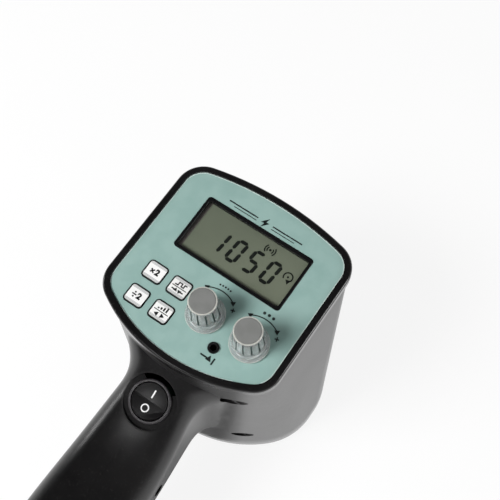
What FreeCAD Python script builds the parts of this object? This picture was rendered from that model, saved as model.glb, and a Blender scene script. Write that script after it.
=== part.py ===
import FreeCAD, Part
import math
import os

# A hand-held xenon stroboscope, standing on its lamp bezel with the panel upwards.
# Millimetres. X is to the right of the panel, +Y towards the panel's top edge and
# away from the handle, +Z out of the panel. The origin is the middle of the oval
# lamp opening, on the bezel's front plane.

V = FreeCAD.Vector
os.makedirs("parts", exist_ok=True)

overrun = 2.0
touch = 0.3
same_height = 0.002

# Head
head_depth = 130.0
panel_rise = 8.0
wall = 2.5
rim_half = 54.0
rim_top = 53.7
rim_bottom = 53.9
rim_top_bow = 184.0
rim_bottom_bow = 95.0
rim_corner = 16.0
rim_width = 4.0
rim_proud = 0.9
rim_height = 6.4
rim_round = 1.7
groove_height = 1.1
groove_depth = 2.3
side_set_in = 1.4
ledge_width = 1.6
ledge_thick = 4.0

# Lamp end of the head: an oval
oval_half = 65.0
oval_high = 51.5
oval_corner = 39.0
oval_straight = 2.35

# Panel plate and what it carries
plate_thick = 2.5
plate_clear = 0.15
overlay_thick = 0.5
tongue_wide = 1.0
tongue_thick = 1.0
frame_half = 33.4
frame_low = 0.1
frame_high = 33.9
frame_corner = 2.0
frame_side = 1.7
frame_foot = 1.7
frame_head = 2.4
frame_proud = 0.3
window_depth = 2.0
window_thick = 0.8
glass_thick = 2.4
display_clear = 0.3
key_wide = 11.6
key_tall = 10.6
key_corner = 2.0
key_gap = 0.25
key_proud = 0.4
key_edge = 0.2
key_flange = 0.5
key_flange_thick = 0.8
key_stem = 1.6
key_travel = 0.3
key_slack = 0.1
key_left = -31.5
key_upper = -17.85
key_pitch_x = 15.65
key_pitch_y = 15.65
key_running = 0.05
tact_side = 6.0
tact_high = 3.4
tact_plunger = 1.6
tact_plunger_high = 0.9

# Knobs
knob_fine_x = 3.8
knob_coarse_x = 30.9
knob_y = -22.0
knob_skirt = 10.5
knob_waist = 8.5
knob_top = 7.3
knob_high = 20.7
knob_stand = 0.8
knob_skirt_thick = 1.0
knob_flare_high = 4.6
knob_edge = 0.9
knob_floor = 3.4
knob_slots = 12
knob_slot_wide = 0.8
knob_slot_deep = 0.8
cap_radius = 6.6
cap_deep = 1.5
cap_proud = 0.3
shaft_radius = 3.0
shaft_running = 0.05
shaft_step = 0.5
shaft_long = 12.0
shaft_in_pot = 6.0
pot_radius = 8.4
pot_high = 8.5
bushing_radius = 3.5
bushing_high = 5.6
pot_nut_across = 10.0
pot_nut_high = 2.0
pot_hole_clear = 0.2
pot_pin_wide = 1.0
pot_pin_thick = 0.6
pot_pin_pitch = 5.0

# External trigger jack
jack_x = 17.3
jack_y = -33.9
jack_radius = 3.1
jack_bore = 1.78
jack_long = 14.0
jack_body_wide = 8.0
jack_body_tall = 10.0
jack_proud = 1.0
jack_clear = 0.1

# Handle
handle_reach = 117.0
neck_half = 33.0
handle_drop = 38.5
handle_front = 80.0
handle_bow = 75.0
handle_corner = 14.0
handle_end_round = 4.0

# Rocker switch in its shallow recess
switch_y = -70.0
switch_drop = 30.8
switch_tilt = 20.0
recess_radius = 15.0
recess_reach = 24.0
flange_radius = 11.9
flange_high = 1.9
flange_edge = 0.7
switch_hole = 11.0
switch_clear = 0.15
switch_deep = 15.0
switch_floor = 6.0
rocker_radius = 10.15
rocker_swing = 12.0
rocker_rise = 2.2
rocker_valley = 7.0
rocker_pivot = -0.5
rocker_bottom = 5.0
rocker_pin = 1.2
rocker_running = 0.05
rocker_gap = 0.35
tab_wide = 4.8
tab_thick = 0.8
tab_long = 8.0
tab_pitch = 8.4

# Screws and bosses
boss_radius = 4.4
screw_radius = 1.5
screw_clear = 0.1
screw_head = 2.75
screw_head_high = 2.2
counterbore = 3.5
seat_depth = 14.0
screw_long = 22.0
upper_screw_y = 44.5
lower_screw_y = -45.9
rear_screw_drop = 29.0
front_screw_rise = 16.0
front_screw_y = 39.0
grip_screw_from_head = 49.1
grip_screw_from_end = 18.9
grip_screw_drop = 60.0

# Lamp end
bezel_high = 14.0
bezel_lip = 2.5
bezel_wall = 11.0
bezel_round = 2.0
spigot_high = 6.0
spigot_wall = 2.0
spigot_clear = 0.2
lens_thick = 2.5
lens_clear = 0.4
lens_seat = 4.0
seal_thick = 1.5
seal_wide = 2.6
flange_thick = 1.6
bezel_screw_in_x = 17.5
bezel_screw_in_y = 24.0
bezel_screw_long = 24.0
bezel_boss = 3.8

# Reflector and flash tube
reflector_wall = 1.2
reflector_deep = 46.0
reflector_back_half = 24.0
reflector_back_high = 14.0
bowl_shares = (0.0, 0.25, 0.5, 0.75, 1.0)
bowl_close_share = 0.94
tube_radius = 3.2
tube_wall = 0.9
tube_half = 17.0
tube_height = 30.0
tube_bend = 8.0
tube_hole_clear = 0.5
tube_tail = 10.0
electrode_radius = 1.0
electrode_in = 9.0
electrode_out = 5.0
holder_half = 28.0
holder_high = 9.0
holder_thick = 7.0
lead_radius = 0.5

# Power board and its parts
power_z = 74.0
board_thick = 1.6
power_half = 44.0
power_low = -32.0
power_top = 34.0
bracket_wide = 12.0
bracket_thick = 4.0
bracket_in = 5.0
bracket_y = 24.0
board_screw_long = 5.2
capacitor_radius = 11.0
capacitor_high = 26.0
capacitor_x = 26.0
capacitor_y = 16.0
core_wide = 26.0
core_deep = 22.0
core_high = 22.0
core_leg = 5.0
winding_clear = 0.3
core_x = -24.0
core_y = 12.0
fuse_radius = 2.6
fuse_long = 20.0
fuse_cap = 5.0
fuse_cap_wall = 0.4
clip_wide = 4.0
clip_wall = 0.6
fuse_lift = 4.6
fuse_x = 0.0
fuse_y = 30.0
coil_radius = 5.0
coil_long = 14.0
coil_x = -6.0
coil_y = -14.0
heatsink_wide = 30.0
heatsink_high = 20.0
heatsink_thick = 2.0
heatsink_fin = 6.0
heatsink_fins = 5
heatsink_x = -20.0
heatsink_y = -20.0
transistor_wide = 10.0
transistor_thick = 4.5
transistor_high = 15.0
block_wide = 20.0
block_deep = 9.0
block_high = 11.0
block_ways = 4
block_screw_radius = 1.7
block_x = 26.0
block_y = -28.0

# Control board, its pillars and the key board
control_drop = 18.0
control_half = 44.0
control_low = -36.0
control_top = 42.0
control_corner = 3.0
pillar_radius = 3.4
pillar_x = 40.5
pillar_top = 38.5
pillar_low = -1.5
pillar_screw_radius = 1.2
pillar_screw_long = 7.0
pillar_head_radius = 2.3
pillar_head_high = 1.6
chip_side = 12.0
chip_high = 1.6
chip_x = 24.0
chip_y = 16.0
key_board_left = -39.0
key_board_right = -9.0
key_board_low = -40.0
key_board_top = -11.0
spacer_radius = 2.2
spacer_inset = 3.2
holder_side = 3.0
holder_wall = 1.6
connector_wide = 18.0
connector_deep = 6.0
connector_high = 6.0
connector_x = 4.0
connector_y = -10.0
ribbon_wide = 14.0
ribbon_thick = 1.0

# Handle base: cable gland with its nut, and the tripod bush
gland_bore = 3.6
gland_thread = 6.0
gland_head = 8.5
gland_out = 7.0
gland_long = 16.0
gland_nut_across = 14.0
gland_nut_high = 4.0
gland_back = 49.0
bush_bore = 2.6
bush_radius = 4.6
bush_flange = 6.0
bush_flange_high = 1.5
bush_boss = 7.5
bush_floor = 3.0
bush_long = 12.0
bush_back = 70.0

# Worked out from the sizes above
panel_z = head_depth
rim_z = panel_z + rim_proud
groove_z = rim_z - rim_height
side_z = groove_z - groove_height
plate_low = panel_z - plate_thick
plate_y = panel_rise
head_foot = panel_rise - rim_bottom
control_z = panel_z - control_drop
control_face = control_z + board_thick
board_face = power_z + board_thick
switch_z = panel_z - switch_drop
glass_low = panel_z - window_depth - window_thick - glass_thick
key_bottom = plate_low - key_flange_thick - key_running
tact_z = key_bottom - key_stem - key_travel - key_slack - tact_plunger_high - tact_high
lens_z = bezel_lip
seal_z = lens_z + lens_thick
flange_z = seal_z + seal_thick
tail_z = flange_z + reflector_deep

rim_form = (rim_half, rim_top, rim_top_bow, -rim_bottom, rim_bottom_bow, rim_corner)
# The bow that leaves a straight flank of the named half length at each end of the oval
oval_rise = oval_high - oval_straight
oval_bow = (oval_rise ** 2 - oval_corner ** 2 + (oval_half - oval_corner) ** 2) / (oval_rise - oval_corner) / 2
oval_form = (oval_half, oval_high, oval_bow, -oval_high, oval_bow, oval_corner)

# Shares along the handle: reach, half width, back drop, front drop
handle_shares = (
    (-0.09, 1.10, 0.44, 1.40),
    (0.00, 0.81, 0.51, 1.27),
    (0.07, 0.68, 0.65, 1.15),
    (0.17, 0.69, 0.79, 1.06),
    (0.34, 0.76, 0.955, 1.01),
    (0.63, 0.81, 1.00, 1.00),
    (0.965, 0.75, 0.91, 1.02),
)


# Basic shapes

def box(x0, x1, y0, y1, z0, z1):
    return Part.makeBox(x1 - x0, y1 - y0, z1 - z0, V(x0, y0, z0))


def rod(radius, length, base, direction=(0, 0, 1)):
    return Part.makeCylinder(radius, length, V(*base), V(*direction))


def tube(outer, inner, length, base, direction=(0, 0, 1)):
    step = V(*direction).normalize()
    start = V(*base) - step * overrun
    bore = rod(inner, length + overrun + overrun, tuple(start), direction)
    return rod(outer, length, base, direction).cut(bore)


def joined(shapes):
    whole = shapes[0]
    for extra in shapes[1:]:
        whole = whole.fuse(extra)
    return whole.removeSplitter()


def without(shape, cuts):
    for tool in cuts:
        shape = shape.cut(tool)
    return shape


def save(name, shapes):
    group = shapes if isinstance(shapes, list) else [shapes]
    solids = [solid for shape in group for solid in shape.Solids]
    out = solids[0] if len(solids) == 1 else Part.makeCompound(solids)
    out.exportStep("parts/" + name + ".step")
    print(name, len(solids), "valid" if all(s.isValid() for s in solids) else "INVALID")


def level(z):
    return lambda u, v: V(u, v, z)


def upright(y):
    return lambda u, v: V(u, y, v)


def inset(form, amount):
    half, top, top_bow, bottom, bottom_bow, corner = form
    return (half - amount, top - amount, top_bow - amount, bottom + amount, bottom_bow - amount,
            corner - amount)


# A closed outline with bowed top and bottom, straight sides and round corners
def outline(form, place, rise=0):
    half, top, top_bow, bottom, bottom_bow, corner = form
    middle_x = half - corner
    edges = []
    spots = []
    for sign, tip, bow in ((1, top, top_bow), (-1, bottom, bottom_bow)):
        centre = tip - sign * bow
        middle_y = centre + sign * math.sqrt((bow - corner) ** 2 - middle_x ** 2)
        slope = math.atan2(middle_y - centre, middle_x)
        between = slope / 2
        spots.append((tip, middle_y,
                      (middle_x + corner * math.cos(slope), middle_y + corner * math.sin(slope)),
                      (middle_x + corner * math.cos(between), middle_y + corner * math.sin(between))))

    def at(u, v):
        return place(u, v + rise)

    (tip_t, side_t, meet_t, mid_t), (tip_b, side_b, meet_b, mid_b) = spots
    edges.append(Part.Arc(at(-meet_t[0], meet_t[1]), at(0, tip_t), at(*meet_t)))
    edges.append(Part.Arc(at(*meet_t), at(*mid_t), at(half, side_t)))
    edges.append(Part.LineSegment(at(half, side_t), at(half, side_b)))
    edges.append(Part.Arc(at(half, side_b), at(*mid_b), at(*meet_b)))
    edges.append(Part.Arc(at(*meet_b), at(0, tip_b), at(-meet_b[0], meet_b[1])))
    edges.append(Part.Arc(at(-meet_b[0], meet_b[1]), at(-mid_b[0], mid_b[1]), at(-half, side_b)))
    edges.append(Part.LineSegment(at(-half, side_b), at(-half, side_t)))
    edges.append(Part.Arc(at(-half, side_t), at(-mid_t[0], mid_t[1]), at(-meet_t[0], meet_t[1])))
    return Part.Wire([edge.toShape() for edge in edges])


def slab(form, z0, z1, rise=0):
    return Part.Face(outline(form, level(z0), rise)).extrude(V(0, 0, z1 - z0))


def round_box(x0, x1, y0, y1, z0, z1, corner):
    shape = box(x0, x1, y0, y1, z0, z1)
    uprights = [e for e in shape.Edges if abs(e.Vertexes[0].Z - e.Vertexes[-1].Z) > (z1 - z0) / 2]
    return shape.makeFillet(corner, uprights)


def rounded_rim(shape, z, radius):
    edges = [e for e in shape.Edges if all(abs(v.Z - z) < same_height for v in e.Vertexes)]
    return shape.makeFillet(radius, edges)


def hexagon(across, high, base):
    reach = across / math.sqrt(3)
    points = [V(base[0] + reach * math.cos(math.radians(60 * i)), base[1] + reach * math.sin(math.radians(60 * i)),
                base[2]) for i in range(7)]
    return Part.Face(Part.makePolygon(points)).extrude(V(0, 0, high))


# Head shell, from the lamp bezel up to the panel's rim

def head_solid(gap):
    low = outline(inset(oval_form, gap), level(bezel_high))
    high = outline(inset(rim_form, side_set_in + gap), level(side_z), plate_y)
    return Part.makeLoft([low, high], True, True)


def head_outer():
    groove = slab(inset(rim_form, groove_depth), side_z, groove_z, plate_y)
    rim = rounded_rim(slab(rim_form, groove_z, rim_z, plate_y), rim_z, rim_round)
    return joined([head_solid(0), groove, rim])


def head_inner():
    low_z = plate_low - ledge_thick
    bottom = slab(inset(oval_form, wall), bezel_high - overrun, bezel_high)
    shoulder = slab(inset(rim_form, rim_width + ledge_width), side_z - wall - overrun, plate_low + overrun, plate_y)
    pocket = slab(inset(rim_form, rim_width), plate_low, rim_z + overrun, plate_y)
    main = head_solid(wall).common(box(-oval_half, oval_half, -oval_half * 2, oval_half * 2, bezel_high, low_z))
    groove = slab(inset(rim_form, rim_width - tongue_wide), plate_low, plate_low + tongue_thick + plate_clear, plate_y)
    return joined([main, bottom, shoulder, pocket, groove])


def handle_sections(gap):
    wires = []
    for reach, half, back, front in handle_shares:
        y = head_foot - handle_reach * reach
        top = panel_z - handle_drop * back - gap
        bottom = panel_z - handle_front * front + gap
        middle = (top + bottom) / 2
        form = (neck_half * half - gap, top - middle, handle_bow - gap, bottom - middle, handle_bow - gap,
                handle_corner - gap)
        wires.append(outline(form, upright(y), middle))
    return wires


def handle_solid(gap):
    wires = handle_sections(gap)
    body = Part.makeLoft(wires, True, False)
    last = handle_shares[-1]
    end = head_foot - handle_reach + gap
    reach, half, back, front = last
    top = panel_z - handle_drop * back - gap - handle_end_round
    bottom = panel_z - handle_front * front + gap + handle_end_round
    middle = (top + bottom) / 2
    form = (neck_half * half - gap - handle_end_round, top - middle, handle_bow - gap - handle_end_round,
            bottom - middle, handle_bow - gap - handle_end_round, handle_corner - gap - handle_end_round)
    cap = Part.makeLoft([wires[-1], outline(form, upright(end), middle)], True, True)
    return body.fuse(cap)


# Turns a shape made with its own +Z upright so that it sits on the switch's sloping seat
def seated(shape, height=0):
    placed = shape.copy()
    placed.translate(V(0, 0, height))
    placed.rotate(V(0, 0, 0), V(1, 0, 0), switch_tilt)
    placed.translate(V(0, plate_y + switch_y, switch_z))
    return placed


def screw_spots():
    back = panel_z - rear_screw_drop
    front = bezel_high + front_screw_rise
    grip = panel_z - grip_screw_drop
    return [(plate_y + upper_screw_y, back), (plate_y + lower_screw_y, back),
            (front_screw_y, front), (-front_screw_y, front),
            (head_foot - grip_screw_from_head, grip), (head_foot - handle_reach + grip_screw_from_end, grip)]


def bezel_spots():
    far_x = oval_half - bezel_screw_in_x
    far_y = oval_high - bezel_screw_in_y
    return [(x, y) for x in (-far_x, far_x) for y in (-far_y, far_y)]


def housings():
    outer = head_outer().fuse(handle_solid(0)).removeSplitter()
    inner = head_inner().fuse(handle_solid(wall))
    shell = outer.cut(inner)
    wide = oval_half * 2
    bosses = []
    for y, z in screw_spots():
        bosses.append(rod(boss_radius, wide, (-oval_half, y, z), (1, 0, 0)))
    for x, y in bezel_spots():
        bosses.append(rod(bezel_boss, bezel_screw_long + wall, (x, y, bezel_high)))
    for side in (-1, 1):
        inward = side * (power_half - bracket_in)
        outward = side * wide / 2
        for y in (-bracket_y, bracket_y):
            bosses.append(box(min(inward, outward), max(inward, outward), y - bracket_wide / 2, y + bracket_wide / 2,
                              power_z - bracket_thick, power_z))
    gland_z = panel_z - gland_back
    bush_z = panel_z - bush_back
    end = head_foot - handle_reach
    bosses.append(rod(bush_boss, bush_long, (0, end, bush_z), (0, 1, 0)))
    inside = joined(bosses).common(outer)
    shell = joined([shell, inside])
    cuts = [seated(rod(recess_radius, recess_reach, (0, 0, 0))),
            seated(rod(switch_hole + switch_clear, recess_reach, (0, 0, -recess_reach))),
            rod(gland_thread + screw_clear, wall + overrun * 2, (0, end - overrun, gland_z), (0, 1, 0)),
            rod(bush_radius + screw_clear, bush_long + overrun * 2, (0, end - overrun, bush_z), (0, 1, 0)),
            rod(bush_flange + screw_clear, bush_flange_high + overrun, (0, end - overrun, bush_z), (0, 1, 0))]
    for x, y in bezel_spots():
        cuts.append(rod(screw_radius + screw_clear, bezel_screw_long, (x, y, bezel_high - overrun)))
    for x in (-1, 1):
        for y in (-bracket_y, bracket_y):
            spot = (x * (power_half - bracket_in / 2), y, power_z - bracket_thick - overrun)
            cuts.append(rod(screw_radius + screw_clear, bracket_thick + overrun * 2, spot))
    shell = without(shell, cuts)
    reach = head_foot - handle_reach - overrun
    halves = []
    for side in (-1, 1):
        x0, x1 = (-wide, 0) if side < 0 else (0, wide)
        halves.append(shell.common(box(x0, x1, reach, wide, 0, rim_z + overrun)))
    left, right = halves
    for y, z in screw_spots():
        left = left.cut(rod(screw_radius + screw_clear, screw_long, (-screw_long + seat_depth, y, z), (1, 0, 0)))
        right = right.cut(rod(screw_radius + screw_clear, wide, (-overrun, y, z), (1, 0, 0)))
        right = right.cut(rod(counterbore, wide, (seat_depth, y, z), (1, 0, 0)))
    return left, right


def screw(base, direction, long, radius=screw_radius, head=screw_head, head_high=screw_head_high):
    step = V(*direction).normalize()
    shank = rod(radius, long, base, direction)
    top = V(*base) - step * head_high
    cap = rod(head, head_high, tuple(top), direction)
    drive = rod(head / 2, head_high / 2, tuple(top - step * (head_high / 2)), direction)
    drive.translate(step * (head_high / 2))
    return shank.fuse(cap).cut(drive)


def housing_screws():
    return [screw((seat_depth, y, z), (-1, 0, 0), screw_long - screw_clear) for y, z in screw_spots()]


# Lamp end

def lamp_bezel():
    outer = rounded_rim(slab(oval_form, 0, bezel_high), 0, bezel_round)
    reach = oval_half * 2
    spigot = head_solid(wall + spigot_clear).cut(head_solid(wall + spigot_clear + spigot_wall))
    spigot = spigot.common(box(-reach, reach, -reach, reach, bezel_high, bezel_high + spigot_high))
    for x, y in bezel_spots():
        spigot = spigot.cut(rod(bezel_boss + touch, spigot_high + overrun * 2, (x, y, bezel_high - overrun)))
    mouth = slab(inset(oval_form, bezel_wall + lens_seat), -overrun, lens_z + overrun)
    pocket = slab(inset(oval_form, bezel_wall), lens_z, bezel_high + overrun)
    ring = outer.cut(mouth).cut(pocket)
    ring = ring.fuse(spigot)
    for x, y in bezel_spots():
        ring = ring.cut(rod(screw_radius + screw_clear, bezel_high + overrun * 2, (x, y, -overrun)))
        ring = ring.cut(rod(counterbore, screw_head_high + overrun, (x, y, -overrun)))
    return ring


def bezel_screws():
    return [screw((x, y, screw_head_high), (0, 0, 1), bezel_screw_long) for x, y in bezel_spots()]


def lamp_lens():
    return slab(inset(oval_form, bezel_wall + lens_clear), lens_z, seal_z)


def lens_seal():
    ring = slab(inset(oval_form, bezel_wall + lens_clear), seal_z, flange_z)
    return ring.cut(slab(inset(oval_form, bezel_wall + lens_clear + seal_wide), seal_z - overrun, flange_z + overrun))


def bowl(gap, z0):
    half = oval_half - bezel_wall - lens_clear - seal_wide
    high = oval_high - bezel_wall - lens_clear - seal_wide
    wires = []
    for step_share in bowl_shares:
        shrink = math.sqrt(1 - step_share * bowl_close_share)
        a = reflector_back_half + (half - reflector_back_half) * shrink + gap
        b = reflector_back_high + (high - reflector_back_high) * shrink + gap
        z = z0 + (reflector_deep + gap) * step_share
        wires.append(Part.Wire(Part.Ellipse(V(0, 0, z), a, b).toShape()))
    return Part.makeLoft(wires, True, False)


def reflector():
    outer = bowl(reflector_wall, flange_z)
    inner = bowl(0, flange_z)
    mouth = inset(oval_form, bezel_wall + lens_clear + seal_wide + lens_seat)
    inner = inner.fuse(slab(mouth, flange_z - overrun, flange_z))
    brim = slab(inset(oval_form, bezel_wall + lens_clear), flange_z, flange_z + flange_thick)
    shell = brim.fuse(outer).cut(inner)
    for x in (-tube_half, tube_half):
        shell = shell.cut(rod(tube_radius + tube_hole_clear, reflector_deep, (x, 0, tail_z - reflector_deep / 2)))
    return shell


def tube_path():
    low = flange_z + tube_height
    side = tube_half
    bend = tube_bend
    diagonal = bend - bend / math.sqrt(2)
    top = tail_z + tube_tail
    left = [V(-side, 0, top), V(-side, 0, low + bend), V(-side + diagonal, 0, low + diagonal), V(-side + bend, 0, low)]
    right = [V(side - bend, 0, low), V(side - diagonal, 0, low + diagonal), V(side, 0, low + bend), V(side, 0, top)]
    edges = [Part.LineSegment(left[0], left[1]), Part.Arc(left[1], left[2], left[3]),
             Part.LineSegment(left[3], right[0]), Part.Arc(right[0], right[1], right[2]),
             Part.LineSegment(right[2], right[3])]
    return Part.Wire([edge.toShape() for edge in edges])


def along(path, radius):
    start = path.Vertexes[0].Point
    ring = Part.Wire(Part.Circle(start, V(0, 0, 1), radius).toShape())
    return path.makePipeShell([ring], True, False)


def flash_tube():
    path = tube_path()
    return along(path, tube_radius).cut(along(path, tube_radius - tube_wall))


def tube_electrodes():
    top = tail_z + tube_tail
    shapes = []
    for x in (-tube_half, tube_half):
        pin = rod(electrode_radius, electrode_in + electrode_out, (x, 0, top - electrode_in))
        plug = rod(tube_radius, electrode_out / 2, (x, 0, top))
        shapes.append(pin.fuse(plug))
    return shapes


def tube_holder():
    z0 = tail_z + reflector_wall + touch
    block = round_box(-holder_half, holder_half, -holder_high, holder_high, z0, z0 + holder_thick, tube_radius)
    for x in (-tube_half, tube_half):
        block = block.cut(rod(tube_radius + touch / 2, holder_thick + overrun * 2, (x, 0, z0 - overrun)))
    return block


# Power board

def brackets_spots():
    return [(x * (power_half - bracket_in / 2), y) for x in (-1, 1) for y in (-bracket_y, bracket_y)]


def power_board():
    board = box(-power_half, power_half, power_low, power_top, power_z, power_z + board_thick)
    for x, y in brackets_spots():
        board = board.cut(rod(screw_radius + screw_clear, board_thick + overrun * 2, (x, y, power_z - overrun)))
    return board


def board_screws():
    top = power_z + board_thick
    return [screw((x, y, top), (0, 0, -1), board_screw_long) for x, y in brackets_spots()]


def flash_capacitor():
    can = rod(capacitor_radius, capacitor_high, (capacitor_x, capacitor_y, board_face))
    top = [e for e in can.Edges if len(e.Vertexes) == 1 and e.Vertexes[0].Z > board_face + capacitor_high / 2]
    return can.makeFillet(capacitor_radius / 8, top)


def transformer_core():
    x0, x1 = core_x - core_wide / 2, core_x + core_wide / 2
    y0, y1 = core_y - core_deep / 2, core_y + core_deep / 2
    z0, z1 = board_face, board_face + core_high
    core = box(x0, x1, y0, y1, z0, z1)
    for side in (-1, 1):
        inner = core_x + side * core_leg
        outer = core_x + side * (core_wide / 2 - core_leg)
        core = core.cut(box(min(inner, outer), max(inner, outer), y0 - overrun, y1 + overrun,
                            z0 + core_leg, z1 - core_leg))
    return core


def transformer_winding():
    reach = core_wide / 2 - core_leg - winding_clear
    deep = core_deep / 2 + core_leg
    z0 = board_face + core_leg + winding_clear
    z1 = board_face + core_high - core_leg - winding_clear
    coil = round_box(core_x - reach, core_x + reach, core_y - deep, core_y + deep, z0, z1, core_leg / 2)
    half = core_leg + winding_clear
    far = core_deep / 2 + winding_clear
    hole = box(core_x - half, core_x + half, core_y - far, core_y + far, z0 - overrun, z1 + overrun)
    return coil.cut(hole)


def trigger_coil():
    z = power_z - coil_radius
    return rod(coil_radius, coil_long, (coil_x - coil_long / 2, coil_y, z), (1, 0, 0))


def trigger_lead():
    low = tail_z + reflector_wall
    return rod(lead_radius, power_z - coil_radius * 2 - low, (coil_x, coil_y, low))


def tube_leads():
    low = tail_z + tube_tail + electrode_out
    return [rod(lead_radius, power_z - low, (x, 0, low)) for x in (-tube_half, tube_half)]


def fuse():
    z = board_face + fuse_lift
    x0 = fuse_x - fuse_long / 2
    glass = rod(fuse_radius - fuse_cap_wall, fuse_long, (x0, fuse_y, z), (1, 0, 0))
    ends = [rod(fuse_radius, fuse_cap, (x, fuse_y, z), (1, 0, 0)) for x in (x0, x0 + fuse_long - fuse_cap)]
    return joined([glass] + ends)


def fuse_clips():
    shapes = []
    z = board_face + fuse_lift
    for side in (-1, 1):
        x = fuse_x + side * (fuse_long / 2 - fuse_cap / 2) - clip_wide / 2
        grip = tube(fuse_radius + clip_wall, fuse_radius, clip_wide, (x, fuse_y, z), (1, 0, 0))
        mouth = box(x - overrun, x + clip_wide + overrun, fuse_y - fuse_radius / 2, fuse_y + fuse_radius / 2, z,
                    z + fuse_radius + overrun)
        foot = box(x, x + clip_wide, fuse_y - fuse_radius, fuse_y + fuse_radius, board_face,
                   z - fuse_radius - clip_wall / 2)
        shapes.append(grip.cut(mouth).fuse(foot))
    return shapes


def heat_sink():
    x0, x1 = heatsink_x - heatsink_wide / 2, heatsink_x + heatsink_wide / 2
    plate = box(x0, x1, heatsink_y, heatsink_y + heatsink_thick, board_face, board_face + heatsink_high)
    fins = []
    step = (heatsink_wide - heatsink_thick / 2) / (heatsink_fins - 1)
    for i in range(heatsink_fins):
        x = x0 + step * i
        fins.append(box(x, x + heatsink_thick / 2, heatsink_y - heatsink_fin, heatsink_y, board_face,
                        board_face + heatsink_high))
    return joined([plate] + fins)


def power_transistor():
    y0 = heatsink_y + heatsink_thick
    return box(heatsink_x - transistor_wide / 2, heatsink_x + transistor_wide / 2, y0, y0 + transistor_thick,
               board_face, board_face + transistor_high)


def terminal_block():
    x0 = block_x - block_wide / 2
    body = box(x0, x0 + block_wide, block_y - block_deep / 2, block_y + block_deep / 2, board_face,
               board_face + block_high)
    pitch = block_wide / block_ways
    for i in range(block_ways):
        spot = (x0 + pitch * (i + 1 / 2), block_y, board_face + block_high / 2)
        body = body.cut(rod(block_screw_radius, block_high, spot))
    return body


def connectors():
    shapes = []
    for z in (board_face, control_z - connector_high):
        shapes.append(box(connector_x - connector_wide / 2, connector_x + connector_wide / 2,
                          connector_y - connector_deep / 2, connector_y + connector_deep / 2, z, z + connector_high))
    return shapes


def signal_ribbon():
    return box(connector_x - ribbon_wide / 2, connector_x + ribbon_wide / 2, connector_y - ribbon_thick / 2,
               connector_y + ribbon_thick / 2, board_face + connector_high, control_z - connector_high)


# Control panel

def key_centres():
    left, upper = key_left, plate_y + key_upper
    right, lower = key_left + key_pitch_x, plate_y + key_upper - key_pitch_y
    return {"double_key": (left, upper), "halve_key": (left, lower),
            "trigger_key": (right, upper), "range_key": (right, lower)}


def knob_places():
    return {"fine": (knob_fine_x, plate_y + knob_y), "coarse": (knob_coarse_x, plate_y + knob_y)}


def pillar_spots():
    return [(x, plate_y + y) for x in (-pillar_x, pillar_x) for y in (pillar_low, pillar_top)]


def panel_holes(low, high):
    cuts = []
    z0, z1 = low - overrun, high + overrun
    for x, y in knob_places().values():
        cuts.append(rod(bushing_radius + pot_hole_clear, z1 - z0, (x, y, z0)))
    for x, y in key_centres().values():
        wide = key_wide / 2 + key_gap
        tall = key_tall / 2 + key_gap
        cuts.append(round_box(x - wide, x + wide, y - tall, y + tall, z0, z1, key_corner + key_gap))
    cuts.append(rod(jack_radius, z1 - z0, (jack_x, plate_y + jack_y, z0)))
    half = frame_half + display_clear / 2
    cuts.append(round_box(-half, half, plate_y + frame_low - display_clear / 2,
                          plate_y + frame_high + display_clear / 2, z0, z1, frame_corner))
    return cuts


def panel_plate():
    top = panel_z - overlay_thick
    plate = slab(inset(rim_form, rim_width + plate_clear), plate_low, top, plate_y)
    tongue = slab(inset(rim_form, rim_width - tongue_wide + plate_clear), plate_low, plate_low + tongue_thick, plate_y)
    pillars = [rod(pillar_radius, plate_low - control_face, (x, y, control_face)) for x, y in pillar_spots()]
    holes = [rod(pillar_screw_radius + screw_clear, pillar_screw_long, (x, y, control_face - overrun))
             for x, y in pillar_spots()]
    return without(joined([plate, tongue] + pillars), panel_holes(plate_low, top) + holes)


def panel_overlay():
    low = panel_z - overlay_thick
    sheet = slab(inset(rim_form, rim_width + plate_clear), low, panel_z, plate_y)
    return without(sheet, panel_holes(low, panel_z))


def display_frame():
    low, high = plate_y + frame_low, plate_y + frame_high
    z0 = panel_z - window_depth
    z1 = panel_z + frame_proud
    frame = round_box(-frame_half, frame_half, low, high, z0, z1, frame_corner)
    opening = round_box(-frame_half + frame_side, frame_half - frame_side, low + frame_foot, high - frame_head,
                        z0 - overrun, z1 + overrun, frame_corner / 2)
    return frame.cut(opening)


def display_sheet(low, thick):
    half = frame_half - display_clear
    return round_box(-half, half, plate_y + frame_low + display_clear, plate_y + frame_high - display_clear,
                     low, low + thick, frame_corner)


def lcd_holder():
    half = frame_half + holder_side
    low = plate_y + frame_low - holder_side
    high = plate_y + frame_high + holder_side
    block = box(-half, half, low, high, control_face, glass_low)
    inner = box(-half + holder_wall, half - holder_wall, low + holder_wall, high - holder_wall,
                control_face - overrun, glass_low - holder_wall)
    return block.cut(inner)


def key(x, y):
    z0 = plate_low - key_flange_thick - key_running
    top = panel_z + key_proud
    wide, tall = key_wide / 2, key_tall / 2
    cap = round_box(x - wide, x + wide, y - tall, y + tall, z0, top, key_corner)
    cap = rounded_rim(cap, top, key_edge)
    flange = round_box(x - wide - key_flange, x + wide + key_flange, y - tall - key_flange, y + tall + key_flange,
                       z0, z0 + key_flange_thick, key_corner)
    stem = rod(tact_plunger + key_flange, key_stem, (x, y, z0 - key_stem))
    return joined([cap, flange, stem])


def key_board():
    z0 = tact_z - board_thick
    board = box(key_board_left, key_board_right, plate_y + key_board_low, plate_y + key_board_top, z0, tact_z)
    return board


def board_spacers():
    z1 = tact_z - board_thick
    shapes = []
    for x in (key_board_left + spacer_inset, key_board_right - spacer_inset):
        for y in (key_board_low + spacer_inset + spacer_radius, key_board_top - spacer_inset):
            shapes.append(rod(spacer_radius, z1 - control_face, (x, plate_y + y, control_face)))
    return shapes


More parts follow.
